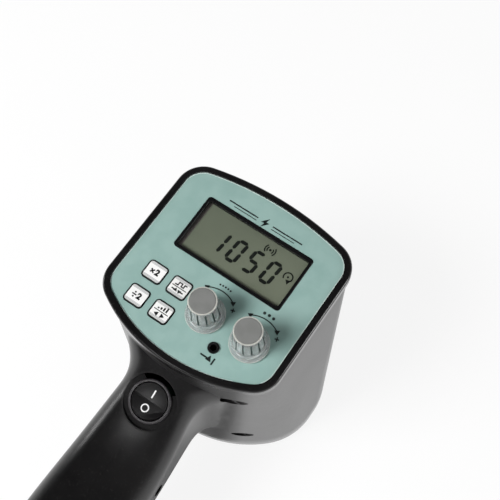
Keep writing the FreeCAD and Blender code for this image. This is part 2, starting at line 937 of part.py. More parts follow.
def tact_switches():
    shapes = []
    half = tact_side / 2
    for x, y in key_centres().values():
        base = box(x - half, x + half, y - half, y + half, tact_z, tact_z + tact_high)
        shapes.append(base.fuse(rod(tact_plunger, tact_plunger_high, (x, y, tact_z + tact_high))))
    return shapes


def control_board():
    board = round_box(-control_half, control_half, plate_y + control_low, plate_y + control_top, control_z,
                      control_face, control_corner)
    radius = pillar_screw_radius + screw_clear
    for x, y in pillar_spots():
        board = board.cut(rod(radius, board_thick + overrun * 2, (x, y, control_z - overrun)))
    return board


def control_screws():
    return [screw((x, y, control_z), (0, 0, 1), pillar_screw_long - overrun, pillar_screw_radius, pillar_head_radius,
                  pillar_head_high) for x, y in pillar_spots()]


def control_chip():
    return box(chip_x - chip_side / 2, chip_x + chip_side / 2, chip_y - chip_side / 2, chip_y + chip_side / 2,
               control_z - chip_high, control_z)


def ext_jack():
    x, y = jack_x, plate_y + jack_y
    body = box(x - jack_body_wide / 2, x + jack_body_wide / 2, y - jack_body_tall / 2, y + jack_body_tall / 2,
               control_face, plate_low)
    top = panel_z + jack_proud
    barrel = rod(jack_radius - jack_clear, top - plate_low, (x, y, plate_low))
    return body.fuse(barrel).cut(rod(jack_bore, jack_long + overrun, (x, y, top - jack_long)))


# Knobs and the parts they turn

def pot(x, y):
    low = plate_low - pot_high
    body = rod(pot_radius, pot_high, (x, y, low))
    bushing = rod(bushing_radius, bushing_high, (x, y, plate_low))
    bore = rod(shaft_radius - shaft_step + shaft_running, shaft_in_pot + bushing_high + overrun,
               (x, y, plate_low - shaft_in_pot))
    pins = [box(x + i * pot_pin_pitch - pot_pin_wide / 2, x + i * pot_pin_pitch + pot_pin_wide / 2,
                y - pot_pin_thick / 2, y + pot_pin_thick / 2, control_face, low) for i in (-1, 0, 1)]
    return joined([body, bushing] + pins).cut(bore)


def pot_shaft(x, y):
    bushing_top = plate_low + bushing_high
    inner = rod(shaft_radius - shaft_step, shaft_in_pot + bushing_high + shaft_step, (x, y, plate_low - shaft_in_pot))
    outer = rod(shaft_radius, shaft_long, (x, y, bushing_top + shaft_step))
    return inner.fuse(outer)


def pot_nut(x, y):
    nut = hexagon(pot_nut_across, pot_nut_high, (x, y, panel_z))
    return nut.cut(rod(bushing_radius + screw_clear / 2, pot_nut_high + overrun * 2, (x, y, panel_z - overrun)))


def knob(x, y):
    base = panel_z + knob_stand
    top = base + knob_high
    flare = base + knob_skirt_thick
    waist = flare + knob_flare_high
    points = [V(0, 0, base), V(knob_skirt, 0, base), V(knob_skirt, 0, flare)]
    edges = [Part.LineSegment(a, b).toShape() for a, b in zip(points, points[1:])]
    middle = V((knob_skirt + knob_waist) / 2 - knob_edge / 2, 0, (flare + waist) / 2 - knob_edge)
    edges.append(Part.Arc(points[-1], middle, V(knob_waist, 0, waist)).toShape())
    side = [V(knob_waist, 0, waist), V(knob_top + knob_edge / 3, 0, top - knob_edge), V(knob_top, 0, top), V(0, 0, top),
            V(0, 0, base)]
    edges += [Part.LineSegment(a, b).toShape() for a, b in zip(side, side[1:])]
    body = Part.Face(Part.Wire(edges)).revolve(V(0, 0, 0), V(0, 0, 1), 360)
    slot_low = waist + knob_edge
    slots = []
    for i in range(knob_slots):
        cutter = box(knob_waist - knob_slot_deep - knob_edge, knob_skirt, -knob_slot_wide / 2, knob_slot_wide / 2,
                     slot_low, top - knob_slot_deep - knob_edge)
        cutter.rotate(V(0, 0, 0), V(0, 0, 1), 360 * (i + 1 / 2) / knob_slots)
        slots.append(cutter)
    well = rod(bushing_radius + pot_nut_across / 3, knob_floor + overrun, (0, 0, base - overrun))
    reach = plate_low + bushing_high + shaft_step + shaft_long + shaft_running
    bore = rod(shaft_radius + shaft_running, reach - base, (0, 0, base))
    seat = rod(cap_radius + shaft_running, cap_deep + overrun, (0, 0, top - cap_deep))
    body = without(body, slots + [well, bore, seat])
    body.translate(V(x, y, 0))
    return body


def knob_cap(x, y):
    top = panel_z + knob_stand + knob_high
    return rod(cap_radius, cap_deep + cap_proud, (x, y, top - cap_deep))


# Rocker switch, made about its own axis and then seated on the slope

def switch_body():
    flange = rod(flange_radius, flange_high, (0, 0, 0))
    top = [e for e in flange.Edges if len(e.Vertexes) == 1 and e.Vertexes[0].Z > flange_high / 2]
    flange = flange.makeFillet(flange_edge, top)
    can = rod(switch_hole, switch_deep, (0, 0, -switch_deep))
    well = rod(rocker_radius + rocker_gap, flange_high + switch_deep, (0, 0, -switch_deep + switch_floor))
    pin = rod(rocker_pin + rocker_running, switch_hole * 2, (-switch_hole, 0, rocker_pivot), (1, 0, 0))
    return seated(without(flange.fuse(can), [well, pin]))


def rocker():
    ball = Part.makeSphere(rocker_radius)
    reach = rocker_radius * 2
    low = box(-reach, reach, -reach, reach, -reach, -rocker_bottom)
    body = ball.cut(low)
    for side in (-1, 1):
        roof = box(-reach, reach, 0, reach, 0, reach) if side > 0 else box(-reach, reach, -reach, 0, 0, reach)
        roof.rotate(V(0, 0, 0), V(1, 0, 0), side * rocker_valley)
        roof.translate(V(0, 0, rocker_rise))
        body = body.cut(roof)
    pin = rod(rocker_pin, (switch_hole - rocker_running) * 2, (-switch_hole + rocker_running, 0, 0), (1, 0, 0))
    body = body.fuse(pin)
    body.rotate(V(0, 0, 0), V(1, 0, 0), -rocker_swing / 2)
    body.translate(V(0, 0, rocker_pivot))
    return seated(body)


def switch_terminals():
    shapes = []
    for y in (-tab_pitch / 2, tab_pitch / 2):
        shapes.append(seated(box(-tab_wide / 2, tab_wide / 2, y - tab_thick / 2, y + tab_thick / 2,
                                 -switch_deep - tab_long, -switch_deep)))
    return shapes


# Handle base

def cord_gland():
    end = head_foot - handle_reach
    z = panel_z - gland_back
    head = rod(gland_head, gland_out, (0, end - gland_out, z), (0, 1, 0))
    tip = [e for e in head.Edges if len(e.Vertexes) == 1 and e.Vertexes[0].Y < end - gland_out / 2]
    head = head.makeChamfer(gland_out / 3, tip)
    thread = rod(gland_thread, gland_long - gland_out, (0, end, z), (0, 1, 0))
    bore = rod(gland_bore, gland_long + overrun * 2, (0, end - gland_out - overrun, z), (0, 1, 0))
    return head.fuse(thread).cut(bore)


def gland_nut():
    nut = hexagon(gland_nut_across, gland_nut_high, (0, 0, 0))
    nut = nut.cut(rod(gland_thread + screw_clear / 2, gland_nut_high + overrun * 2, (0, 0, -overrun)))
    nut.rotate(V(0, 0, 0), V(1, 0, 0), -90)
    nut.translate(V(0, head_foot - handle_reach + wall, panel_z - gland_back))
    return nut


def tripod_bush():
    end = head_foot - handle_reach
    z = panel_z - bush_back
    flange = rod(bush_flange, bush_flange_high, (0, end, z), (0, 1, 0))
    barrel = rod(bush_radius, bush_long, (0, end, z), (0, 1, 0))
    hole = rod(bush_bore, bush_long - bush_floor + overrun, (0, end - overrun, z), (0, 1, 0))
    return flange.fuse(barrel).cut(hole)


left, right = housings()
save("left_housing", left)
save("right_housing", right)
save("housing_screws", housing_screws())
save("lamp_bezel", lamp_bezel())
save("bezel_screws", bezel_screws())
save("lamp_lens", lamp_lens())
save("lens_seal", lens_seal())
save("reflector", reflector())
save("flash_tube", flash_tube())
save("tube_electrodes", tube_electrodes())
save("tube_holder", tube_holder())
save("tube_leads", tube_leads())
save("trigger_coil", trigger_coil())
save("trigger_lead", trigger_lead())
save("power_board", power_board())
save("power_board_screws", board_screws())
save("flash_capacitor", flash_capacitor())
save("transformer_core", transformer_core())
save("transformer_winding", transformer_winding())
save("fuse", fuse())
save("fuse_clips", fuse_clips())
save("heat_sink", heat_sink())
save("power_transistor", power_transistor())
save("terminal_block", terminal_block())
save("board_connectors", connectors())
save("signal_ribbon", signal_ribbon())
save("panel_plate", panel_plate())
save("panel_overlay", panel_overlay())
save("display_frame", display_frame())
save("lcd_window", display_sheet(panel_z - window_depth - window_thick, window_thick))
save("lcd_glass", display_sheet(glass_low, glass_thick))
save("lcd_holder", lcd_holder())
save("control_board", control_board())
save("control_board_screws", control_screws())
save("control_chip", control_chip())
save("key_board", key_board())
save("board_spacers", board_spacers())
save("tact_switches", tact_switches())
save("ext_jack", ext_jack())
for name, (x, y) in key_centres().items():
    save(name, key(x, y))
for name, (x, y) in knob_places().items():
    save(name + "_knob", knob(x, y))
    save(name + "_knob_cap", knob_cap(x, y))
    save(name + "_pot", pot(x, y))
    save(name + "_pot_shaft", pot_shaft(x, y))
    save(name + "_pot_nut", pot_nut(x, y))
save("switch_body", switch_body())
save("rocker", rocker())
save("switch_terminals", switch_terminals())
save("cord_gland", cord_gland())
save("gland_nut", gland_nut())
save("tripod_bush", tripod_bush())
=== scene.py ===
import math
import bmesh
import bpy
from mathutils import Matrix, Vector


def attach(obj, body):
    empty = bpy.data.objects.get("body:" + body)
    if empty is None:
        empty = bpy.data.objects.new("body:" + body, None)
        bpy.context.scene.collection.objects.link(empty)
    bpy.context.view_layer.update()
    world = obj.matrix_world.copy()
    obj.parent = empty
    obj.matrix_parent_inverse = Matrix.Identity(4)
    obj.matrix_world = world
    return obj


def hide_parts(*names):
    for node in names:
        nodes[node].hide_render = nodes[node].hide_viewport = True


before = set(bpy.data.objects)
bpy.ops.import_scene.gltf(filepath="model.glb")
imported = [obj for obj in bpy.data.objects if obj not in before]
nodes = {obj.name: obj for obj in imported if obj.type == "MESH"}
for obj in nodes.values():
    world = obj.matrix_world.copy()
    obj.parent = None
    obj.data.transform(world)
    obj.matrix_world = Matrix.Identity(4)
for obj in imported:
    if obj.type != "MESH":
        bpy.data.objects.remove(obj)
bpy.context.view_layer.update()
mm = 0.001
print("model loaded:", len(nodes), "nodes")

# Places shared by several pieces, in millimetres
panelTop = 130.0
knobSpots = {"fine": (3.8, -14.0), "coarse": (30.9, -14.0)}
keySpots = {"double": (-31.5, -9.85), "halve": (-31.5, -25.5), "trigger": (-15.85, -9.85),
            "range": (-15.85, -25.5)}
jackSpot = (17.3, -25.9)
housingScrewSpots = ((52.5, 101.0), (-37.9, 101.0), (39.0, 30.0), (-39.0, 30.0), (-94.99, 70.0),
                     (-144.0, 70.0))
bezelScrewSpots = ((-47.5, -27.5), (-47.5, 27.5), (47.5, -27.5), (47.5, 27.5))
handleEnd = -162.9
switchSpot = (0.0, -0.062, 0.0992)
switchSeat = Matrix.Translation(switchSpot) @ Matrix.Rotation(math.radians(20), 4, "X")


def dropSelection():
    if bpy.context.object and bpy.context.object.mode != "OBJECT":
        bpy.ops.object.mode_set(mode="OBJECT")
    bpy.ops.object.select_all(action="DESELECT")


def takeUp(piece):
    dropSelection()
    piece.select_set(True)
    bpy.context.view_layer.objects.active = piece


def openUp(piece, kind="FACE"):
    takeUp(piece)
    bpy.ops.object.mode_set(mode="EDIT")
    bpy.ops.mesh.select_mode(type=kind)


def openAll(piece, kind="FACE"):
    openUp(piece, kind)
    everything()


def closeUp():
    bpy.ops.object.mode_set(mode="OBJECT")


def everything():
    bpy.ops.mesh.select_all(action="SELECT")


# A move in millimetres, and a turn about an axis
def moved(x, y, z=0.0):
    return Matrix.Translation((x * mm, y * mm, z * mm))


def spun(angle, axis="Z"):
    return Matrix.Rotation(angle, 4, axis)


# Selects the faces, edges or vertices of the piece in edit mode that the test accepts
def choose(piece, test, kind="FACE"):
    bpy.ops.mesh.select_mode(type=kind)
    bpy.ops.mesh.select_all(action="DESELECT")
    mesh = bmesh.from_edit_mesh(piece.data)
    parts = {"FACE": mesh.faces, "EDGE": mesh.edges, "VERT": mesh.verts}[kind]
    for part in parts:
        if test(part):
            part.select_set(True)
    mesh.select_flush_mode()
    bmesh.update_edit_mesh(piece.data)


def named(name):
    piece = bpy.context.object
    piece.name = name
    piece.data.name = name
    return piece


def freeze(piece):
    takeUp(piece)
    bpy.ops.object.transform_apply(location=True, rotation=True, scale=True)
    return piece


def joinUp(pieces, name):
    dropSelection()
    for piece in pieces:
        piece.select_set(True)
    bpy.context.view_layer.objects.active = pieces[0]
    if len(pieces) > 1:
        bpy.ops.object.join()
    return named(name)


def twin(piece, name, move=(0, 0, 0)):
    other = bpy.data.objects.new(name, piece.data.copy())
    other.data.name = name
    bpy.context.scene.collection.objects.link(other)
    other.data.transform(moved(*move))
    return other


def addModifier(piece, kind, **values):
    takeUp(piece)
    bpy.ops.object.modifier_add(type=kind)
    modifier = piece.modifiers[-1]
    for key, value in values.items():
        setattr(modifier, key, value)
    bpy.ops.object.modifier_apply(modifier=modifier.name)


def carve(piece, cutter, **values):
    addModifier(piece, "BOOLEAN", object=cutter, operation="DIFFERENCE", solver="EXACT", **values)
    bpy.data.objects.remove(cutter)


def softEdges(piece, width, segments=2, angle=35):
    addModifier(piece, "BEVEL", width=width * mm, segments=segments, limit_method="ANGLE",
                angle_limit=math.radians(angle), use_clamp_overlap=True)


def settle(piece, titles, body, angle=35, stands=()):
    takeUp(piece)
    kept = piece.data.materials
    for i, title in enumerate(titles.split()):
        if i < len(kept):
            kept[i] = finishes[title]
        else:
            kept.append(finishes[title])
    bpy.ops.object.shade_smooth_by_angle(angle=math.radians(angle))
    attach(piece, body)
    if stands:
        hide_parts(*stands)


# A line of points drawn by extruding one vertex along it
def drawLine(name, points):
    bpy.ops.mesh.primitive_plane_add(size=mm, location=[v * mm for v in points[0]])
    piece = named(name)
    openAll(piece, "VERT")
    bpy.ops.mesh.merge(type="CENTER")
    for last, point in zip(points, points[1:]):
        step = [(b - a) * mm for a, b in zip(last, point)]
        bpy.ops.mesh.extrude_region_move(TRANSFORM_OT_translate={"value": step})
    closeUp()
    return piece


# Spins a profile of (radius, height) round an upright axis
def turned(name, profile, spot=(0, 0), steps=64, closed=False):
    dropSelection()
    points = [(spot[0] + r, spot[1], z) for r, z in profile]
    piece = drawLine(name, points + points[:1] if closed else points)
    openAll(piece, "VERT")
    if closed:
        bpy.ops.mesh.remove_doubles(threshold=mm / 1000)
        everything()
    bpy.ops.mesh.spin(steps=steps, angle=math.tau, center=(spot[0] * mm, spot[1] * mm, 0), axis=(0, 0, 1))
    everything()
    bpy.ops.mesh.remove_doubles(threshold=mm / 500)
    everything()
    bpy.ops.mesh.normals_make_consistent(inside=False)
    closeUp()
    return freeze(piece)


# A flat bar with square or pointed ends
def bar(spot, length, width, turn=0.0, point=0.0):
    dropSelection()
    bpy.ops.mesh.primitive_plane_add(size=1)
    piece = named("bar")
    openAll(piece, "VERT")
    bpy.ops.transform.resize(value=(length * mm, width * mm, 1))
    if point:
        bpy.ops.mesh.bevel(offset=width * point * mm, segments=1, affect="VERTICES")
    closeUp()
    piece.data.transform(moved(*spot) @ spun(turn))
    return piece


def dot(spot, radius, corners=24, turn=0.0):
    dropSelection()
    bpy.ops.mesh.primitive_circle_add(vertices=corners, radius=radius * mm, fill_type="NGON",
                                      location=(spot[0] * mm, spot[1] * mm, 0), rotation=(0, 0, turn))
    return freeze(named("dot"))


# A flat ring, or the part of it between two angles
def ring(spot, radius, width, start=0.0, end=math.tau, corners=96):
    piece = dot(spot, radius + width / 2, corners)
    openAll(piece)
    bpy.ops.mesh.inset(thickness=width * mm)
    bpy.ops.mesh.delete(type="FACE")
    if end - start < math.tau - 0.01:
        centre = Vector((spot[0] * mm, spot[1] * mm, 0))

        def outside(face):
            way = face.calc_center_median() - centre
            angle = (math.atan2(way.y, way.x) - start) % math.tau
            return angle > end - start

        choose(piece, outside)
        bpy.ops.mesh.delete(type="FACE")
    closeUp()
    return piece


def arrowHead(spot, length, turn):
    return dot(spot, length * 2 / 3, 3, turn)


def writing(words, size, weight=0.0):
    dropSelection()
    bpy.ops.object.text_add()
    letters = bpy.context.object
    letters.data.body = words
    letters.data.size = size * mm
    letters.data.offset = weight * mm
    letters.data.align_x = "CENTER"
    letters.data.align_y = "CENTER"
    letters.data.resolution_u = 6
    bpy.ops.object.convert(target="MESH")
    openAll(bpy.context.object, "VERT")
    bpy.ops.mesh.remove_doubles(threshold=mm / 500)
    closeUp()
    return freeze(named("writing"))


# Gives a flat sign its thickness and lays it at its height
def raiseSign(piece, low, thick=0.04, name=None):
    if name:
        piece.name = name
        piece.data.name = name
    openAll(piece)
    bpy.ops.mesh.extrude_region_move(TRANSFORM_OT_translate={"value": (0, 0, thick * mm)})
    everything()
    bpy.ops.mesh.normals_make_consistent(inside=False)
    closeUp()
    piece.data.transform(moved(0, 0, low))


# A box with rounded upright corners, given by its two corners
def roundBlock(name, low, high, corner, segments=5):
    dropSelection()
    bpy.ops.mesh.primitive_cube_add(size=1, location=[(a + b) / 2 * mm for a, b in zip(low, high)])
    piece = named(name)
    piece.scale = [(b - a) * mm for a, b in zip(low, high)]
    freeze(piece)
    if corner:
        openUp(piece, "EDGE")
        choose(piece, lambda e: abs((e.verts[0].co - e.verts[1].co).normalized().z) > 0.9, "EDGE")
        bpy.ops.mesh.bevel(offset=corner * mm, segments=segments)
        closeUp()
    return piece


# A merged copy of a node
def welded(node, name):
    piece = bpy.data.objects.new(name, nodes[node].data.copy())
    piece.data.name = name
    bpy.context.scene.collection.objects.link(piece)
    openAll(piece, "VERT")
    bpy.ops.mesh.customdata_custom_splitnormals_clear()
    bpy.ops.mesh.remove_doubles(threshold=mm / 200)
    closeUp()
    return piece


def tone(*levels):
    return tuple(((v / 255 + 0.055) / 1.055) ** 2.4 if v > 10 else v / 255 / 12.92 for v in levels) + (1,)


def plug(tree, socket, value):
    if isinstance(value, (int, float, tuple)):
        socket.default_value = value
    else:
        tree.links.new(value, socket)


def newGroup(name, inputs, outputs):
    group = bpy.data.node_groups.new(name, "ShaderNodeTree")
    for title, value in inputs.items():
        kind = {3: "Vector", 4: "Color"}[len(value)] if isinstance(value, tuple) else "Float"
        socket = group.interface.new_socket(title, in_out="INPUT", socket_type="NodeSocket" + kind)
        socket.default_value = value
    for title, kind in outputs.items():
        group.interface.new_socket(title, in_out="OUTPUT", socket_type="NodeSocket" + kind)
    return group, group.nodes.new("NodeGroupInput"), group.nodes.new("NodeGroupOutput")


def math2(tree, operation, first, second=0.0, clamp=False):
    node = tree.nodes.new("ShaderNodeMath")
    node.operation = operation
    node.use_clamp = clamp
    plug(tree, node.inputs[0], first)
    plug(tree, node.inputs[1], second)
    return node.outputs[0]


def vectorStep(tree, operation, first, second=(0, 0, 0)):
    node = tree.nodes.new("ShaderNodeVectorMath")
    node.operation = operation
    plug(tree, node.inputs[0], first)
    plug(tree, node.inputs[1], second)
    return node.outputs


def ranged(tree, value, low, high, newLow=0.0, newHigh=1.0, smooth=False):
    node = tree.nodes.new("ShaderNodeMapRange")
    if smooth:
        node.interpolation_type = "SMOOTHSTEP"
    for title, number in (("Value", value), ("From Min", low), ("From Max", high),
                          ("To Min", newLow), ("To Max", newHigh)):
        plug(tree, node.inputs[title], number)
    return node.outputs["Result"]


def mixColour(tree, factor, first, second):
    node = tree.nodes.new("ShaderNodeMix")
    node.data_type = "RGBA"
    for place, value in ((0, factor), (6, first), (7, second)):
        plug(tree, node.inputs[place], value)
    return node.outputs[2]


def mixValue(tree, factor, first, second):
    node = tree.nodes.new("ShaderNodeMix")
    for place, value in ((0, factor), (2, first), (3, second)):
        plug(tree, node.inputs[place], value)
    return node.outputs[0]


def effect(tree, group, inputs):
    node = tree.nodes.new("ShaderNodeGroup")
    node.node_tree = group
    for title, value in inputs.items():
        plug(tree, node.inputs[title], value)
    return node


def objectPlace(tree):
    return tree.nodes.new("ShaderNodeTexCoord").outputs["Object"]


def noise(tree, place, scale, detail=3.0):
    node = tree.nodes.new("ShaderNodeTexNoise")
    for title, value in (("Vector", place), ("Scale", scale), ("Detail", detail)):
        plug(tree, node.inputs[title], value)
    return node.outputs["Fac"]


def splitPlace(tree, place, axes="XYZ"):
    node = tree.nodes.new("ShaderNodeSeparateXYZ")
    tree.links.new(place, node.inputs[0])
    return [node.outputs[axis] for axis in axes]


# Slow patches of two colours, fine grain and uneven gloss: every finish starts from it
def makeSurfaceGrain():
    group, start, finish = newGroup("surfaceGrain", {
        "Main Colour": (0.5, 0.5, 0.5, 1), "Second Colour": (0.4, 0.4, 0.4, 1), "Patch Scale": 40.0,
        "Grain Scale": 3000.0, "Stretch": (1, 1, 1), "Gloss Low": 0.3, "Gloss High": 0.5},
        {"Colour": "Color", "Roughness": "Float", "Height": "Float"})
    given = start.outputs
    stretched = vectorStep(group, "MULTIPLY", objectPlace(group), given["Stretch"])[0]
    patches = ranged(group, noise(group, stretched, given["Patch Scale"], 4.0), 0.35, 0.68, smooth=True)
    colour = mixColour(group, patches, given["Main Colour"], given["Second Colour"])
    group.links.new(colour, finish.inputs["Colour"])
    smears = noise(group, stretched, math2(group, "MULTIPLY", given["Patch Scale"], 0.6), 5.0)
    gloss = ranged(group, smears, 0.3, 0.7, given["Gloss Low"], given["Gloss High"])
    group.links.new(gloss, finish.inputs["Roughness"])
    group.links.new(noise(group, stretched, given["Grain Scale"], 2.0), finish.inputs["Height"])
    return group


# Settled dust: pale specks and film on faces that look upwards
def makeDust():
    group, start, finish = newGroup("settledDust", {
        "Colour": (0.5, 0.5, 0.5, 1), "Dust Colour": (0.4, 0.39, 0.37, 1), "Amount": 0.05, "Speck Scale": 900.0},
        {"Colour": "Color", "Mask": "Float"})
    place = objectPlace(group)
    shape = group.nodes.new("ShaderNodeNewGeometry")
    upward = ranged(group, splitPlace(group, shape.outputs["Normal"], "Z")[0], 0.1, 0.9, smooth=True)
    specks = ranged(group, noise(group, place, start.outputs["Speck Scale"], 1.0), 0.62, 0.74)
    film = ranged(group, noise(group, place, 35.0, 4.0), 0.4, 0.75, 0.0, 0.5)
    both = math2(group, "MULTIPLY", math2(group, "ADD", specks, film), upward)
    mask = math2(group, "MULTIPLY", both, start.outputs["Amount"], clamp=True)
    dusty = mixColour(group, mask, start.outputs["Colour"], start.outputs["Dust Colour"])
    group.links.new(dusty, finish.inputs["Colour"])
    group.links.new(mask, finish.inputs["Mask"])
    return group


# Fine rings round an upright axis, as a lathe or a mould leaves them
def makeTurnedRings():
    group, start, finish = newGroup("turnedRings", {"Middle X": 0.0, "Middle Y": 0.0,
                                                    "Rings Per Metre": 3000.0},
                                    {"Height": "Float"})
    x, y = splitPlace(group, objectPlace(group), "XY")
    dx = math2(group, "SUBTRACT", x, start.outputs["Middle X"])
    dy = math2(group, "SUBTRACT", y, start.outputs["Middle Y"])
    square = math2(group, "ADD", math2(group, "MULTIPLY", dx, dx), math2(group, "MULTIPLY", dy, dy))
    turns = math2(group, "MULTIPLY", math2(group, "SQRT", square), start.outputs["Rings Per Metre"])
    wave = math2(group, "SINE", math2(group, "MULTIPLY", turns, math.tau))
    group.links.new(ranged(group, wave, -1.0, 1.0), finish.inputs["Height"])
    return group


surfaceGrain = makeSurfaceGrain()
settledDust = makeDust()
turnedRings = makeTurnedRings()


def startFinish(name, look):
    material = bpy.data.materials.new(name)
    material.use_nodes = True
    tree = material.node_tree
    shader = tree.nodes["Principled BSDF"]
    keys = {"Main Colour": "colour", "Second Colour": "second", "Patch Scale": "patch", "Grain Scale": "grain",
            "Stretch": "stretch", "Gloss Low": "glossLow", "Gloss High": "glossHigh"}
    grain = effect(tree, surfaceGrain, {title: look[key] for title, key in keys.items() if key in look})
    bump = tree.nodes.new("ShaderNodeBump")
    bump.inputs["Strength"].default_value = look.get("bump", 0.2)
    bump.inputs["Distance"].default_value = look.get("depth", 0.03) * mm
    tree.links.new(grain.outputs["Colour"], shader.inputs["Base Color"])
    tree.links.new(grain.outputs["Roughness"], shader.inputs["Roughness"])
    tree.links.new(grain.outputs["Height"], bump.inputs["Height"])
    tree.links.new(bump.outputs["Normal"], shader.inputs["Normal"])
    for socket, value in look.get("plain", {}).items():
        shader.inputs[socket].default_value = value
    return material, tree, shader, grain, bump


def simpleFinish(name, look):
    material, tree, shader, grain, bump = startFinish(name, look)
    if "dust" in look:
        dust = effect(tree, settledDust, {"Amount": look["dust"], "Colour": grain.outputs["Colour"]})
        tree.links.new(dust.outputs["Colour"], shader.inputs["Base Color"])
    return material


# Black moulded plastic of the head and handle: glossier on the rim, with the line where the halves meet
housingLook = {"colour": tone(12, 11, 12), "second": tone(16, 15, 16), "patch": 25.0, "grain": 3800.0,
               "glossLow": 0.27, "glossHigh": 0.34, "bump": 0.16, "depth": 0.03, "rimGloss": 0.2,
               "rimFrom": 0.1243, "lineHalf": 0.00022, "coat": 0.32, "seatRound": 0.0158,
               "seatGloss": 0.62, "underLow": 0.1198, "underHigh": 0.1247, "underGloss": 1.0,
               "fade": 0.0006, "dust": 0.02,
               "plain": {"IOR": 1.5, "Coat Roughness": 0.26, "Coat IOR": 1.5}}


def housingFinish(name):
    look = housingLook
    material, tree, shader, grain, bump = startFinish(name, look)
    x, z = splitPlace(tree, objectPlace(tree), "XZ")
    fade = look["fade"]
    onRim = ranged(tree, z, look["rimFrom"], look["rimFrom"] + fade, smooth=True)
    gloss = mixValue(tree, onRim, grain.outputs["Roughness"], look["rimGloss"])
    # Dull on the pad of the switch, and dark in the groove under the rim
    fromSeat = vectorStep(tree, "DISTANCE", objectPlace(tree), switchSpot)["Value"]
    offSeat = ranged(tree, fromSeat, look["seatRound"] - 0.0008, look["seatRound"] + 0.0008, smooth=True)
    under = math2(tree, "MULTIPLY", ranged(tree, z, look["underLow"], look["underLow"] + fade, smooth=True),
                  ranged(tree, z, look["underHigh"] - fade / 2, look["underHigh"], 1.0, 0.0))
    dull = mixValue(tree, under, mixValue(tree, offSeat, look["seatGloss"], gloss), look["underGloss"])
    tree.links.new(dull, shader.inputs["Roughness"])
    bare = math2(tree, "MULTIPLY", offSeat, math2(tree, "SUBTRACT", 1.0, under))
    tree.links.new(math2(tree, "MULTIPLY", bare, look["coat"]), shader.inputs["Coat Weight"])
    offLine = ranged(tree, math2(tree, "ABSOLUTE", x), look["lineHalf"] / 4, look["lineHalf"], smooth=True)
    rough = math2(tree, "SUBTRACT", 0.3, math2(tree, "MULTIPLY", onRim, 0.25))
    fine = math2(tree, "MULTIPLY", grain.outputs["Height"], rough)
    tree.links.new(math2(tree, "ADD", fine, math2(tree, "MULTIPLY", offLine, 3.0)), bump.inputs["Height"])
    lined = mixColour(tree, offLine, tone(8, 8, 8), grain.outputs["Colour"])
    dust = effect(tree, settledDust, {"Amount": look["dust"], "Colour": lined})
    tree.links.new(dust.outputs["Colour"], shader.inputs["Base Color"])
    return material


# White key caps with grey hatching along their upper and lower edges
keyLook = {"colour": tone(246, 246, 245), "second": tone(240, 240, 238), "patch": 60.0, "grain": 3000.0,
           "glossLow": 0.35, "glossHigh": 0.45, "bump": 0.1, "depth": 0.01, "hatch": tone(146, 150, 150),
           "hatchFrom": 0.0031, "hatchPitch": 0.00062, "plain": {"IOR": 1.5}}


def keyFinish(name, middleY):
    look = keyLook
    material, tree, shader, grain, bump = startFinish(name, look)
    y = splitPlace(tree, objectPlace(tree), "Y")[0]
    fromMiddle = math2(tree, "ABSOLUTE", math2(tree, "SUBTRACT", y, middleY * mm))
    inBand = ranged(tree, fromMiddle, look["hatchFrom"], look["hatchFrom"] + 0.0002)
    wave = math2(tree, "SINE", math2(tree, "MULTIPLY", fromMiddle, math.tau / look["hatchPitch"]))
    lines = ranged(tree, wave, -0.5, 0.5)
    mask = math2(tree, "MULTIPLY", inBand, math2(tree, "ADD", math2(tree, "MULTIPLY", lines, 0.5), 0.3))
    tree.links.new(mixColour(tree, mask, grain.outputs["Colour"], look["hatch"]), shader.inputs["Base Color"])
    return material


# Display cell: grey-green, a little lighter to the right, with a painted band on two sides standing in for the
# frame recess's lit inner wall and its shade
cellLook = {"colour": tone(118, 126, 109), "second": tone(124, 132, 114), "patch": 18.0, "grain": 2500.0,
            "glossLow": 0.28, "glossHigh": 0.34, "bump": 0.05, "depth": 0.01, "border": tone(112, 107, 103),
            "left": -0.0302, "low": 0.0110, "far": tone(149, 156, 135), "plain": {"IOR": 1.5}}


def cellFinish(name):
    look = cellLook
    material, tree, shader, grain, bump = startFinish(name, look)
    x, y = splitPlace(tree, objectPlace(tree), "XY")
    across = ranged(tree, math2(tree, "SUBTRACT", x, y), -0.05, 0.03, 0.0, 0.6)
    body = mixColour(tree, across, grain.outputs["Colour"], look["far"])
    # painted band along the left and lower sides, for the look and shade of the frame recess's inner wall
    leftWallPaint = ranged(tree, x, look["left"] - 0.0003, look["left"] + 0.0003, 1.0, 0.0)
    lowWallPaint = ranged(tree, y, look["low"] - 0.0003, look["low"] + 0.0003, 1.0, 0.0)
    edge = math2(tree, "MAXIMUM", leftWallPaint, lowWallPaint)
    tree.links.new(mixColour(tree, edge, body, look["border"]), shader.inputs["Base Color"])
    return material


# Green circuit board with copper tracks under the lacquer
boardLook = {"colour": tone(24, 86, 52), "second": tone(20, 74, 46), "patch": 40.0, "grain": 2500.0,
             "glossLow": 0.3, "glossHigh": 0.4, "bump": 0.15, "depth": 0.04, "track": tone(46, 118, 70)}


def boardFinish(name):
    look = boardLook
    material, tree, shader, grain, bump = startFinish(name, look)
    tracks = tree.nodes.new("ShaderNodeTexBrick")
    tree.links.new(objectPlace(tree), tracks.inputs["Vector"])
    for title, value in (("Scale", 210.0), ("Mortar Size", 0.035), ("Mortar Smooth", 0.1), ("Bias", -0.5),
                         ("Color1", (0, 0, 0, 1)), ("Color2", (0, 0, 0, 1)), ("Mortar", (1, 1, 1, 1))):
        tracks.inputs[title].default_value = value
    mask = tracks.outputs["Fac"]
    tree.links.new(mixColour(tree, mask, grain.outputs["Colour"], look["track"]), shader.inputs["Base Color"])
    tree.links.new(mask, bump.inputs["Height"])
    return material


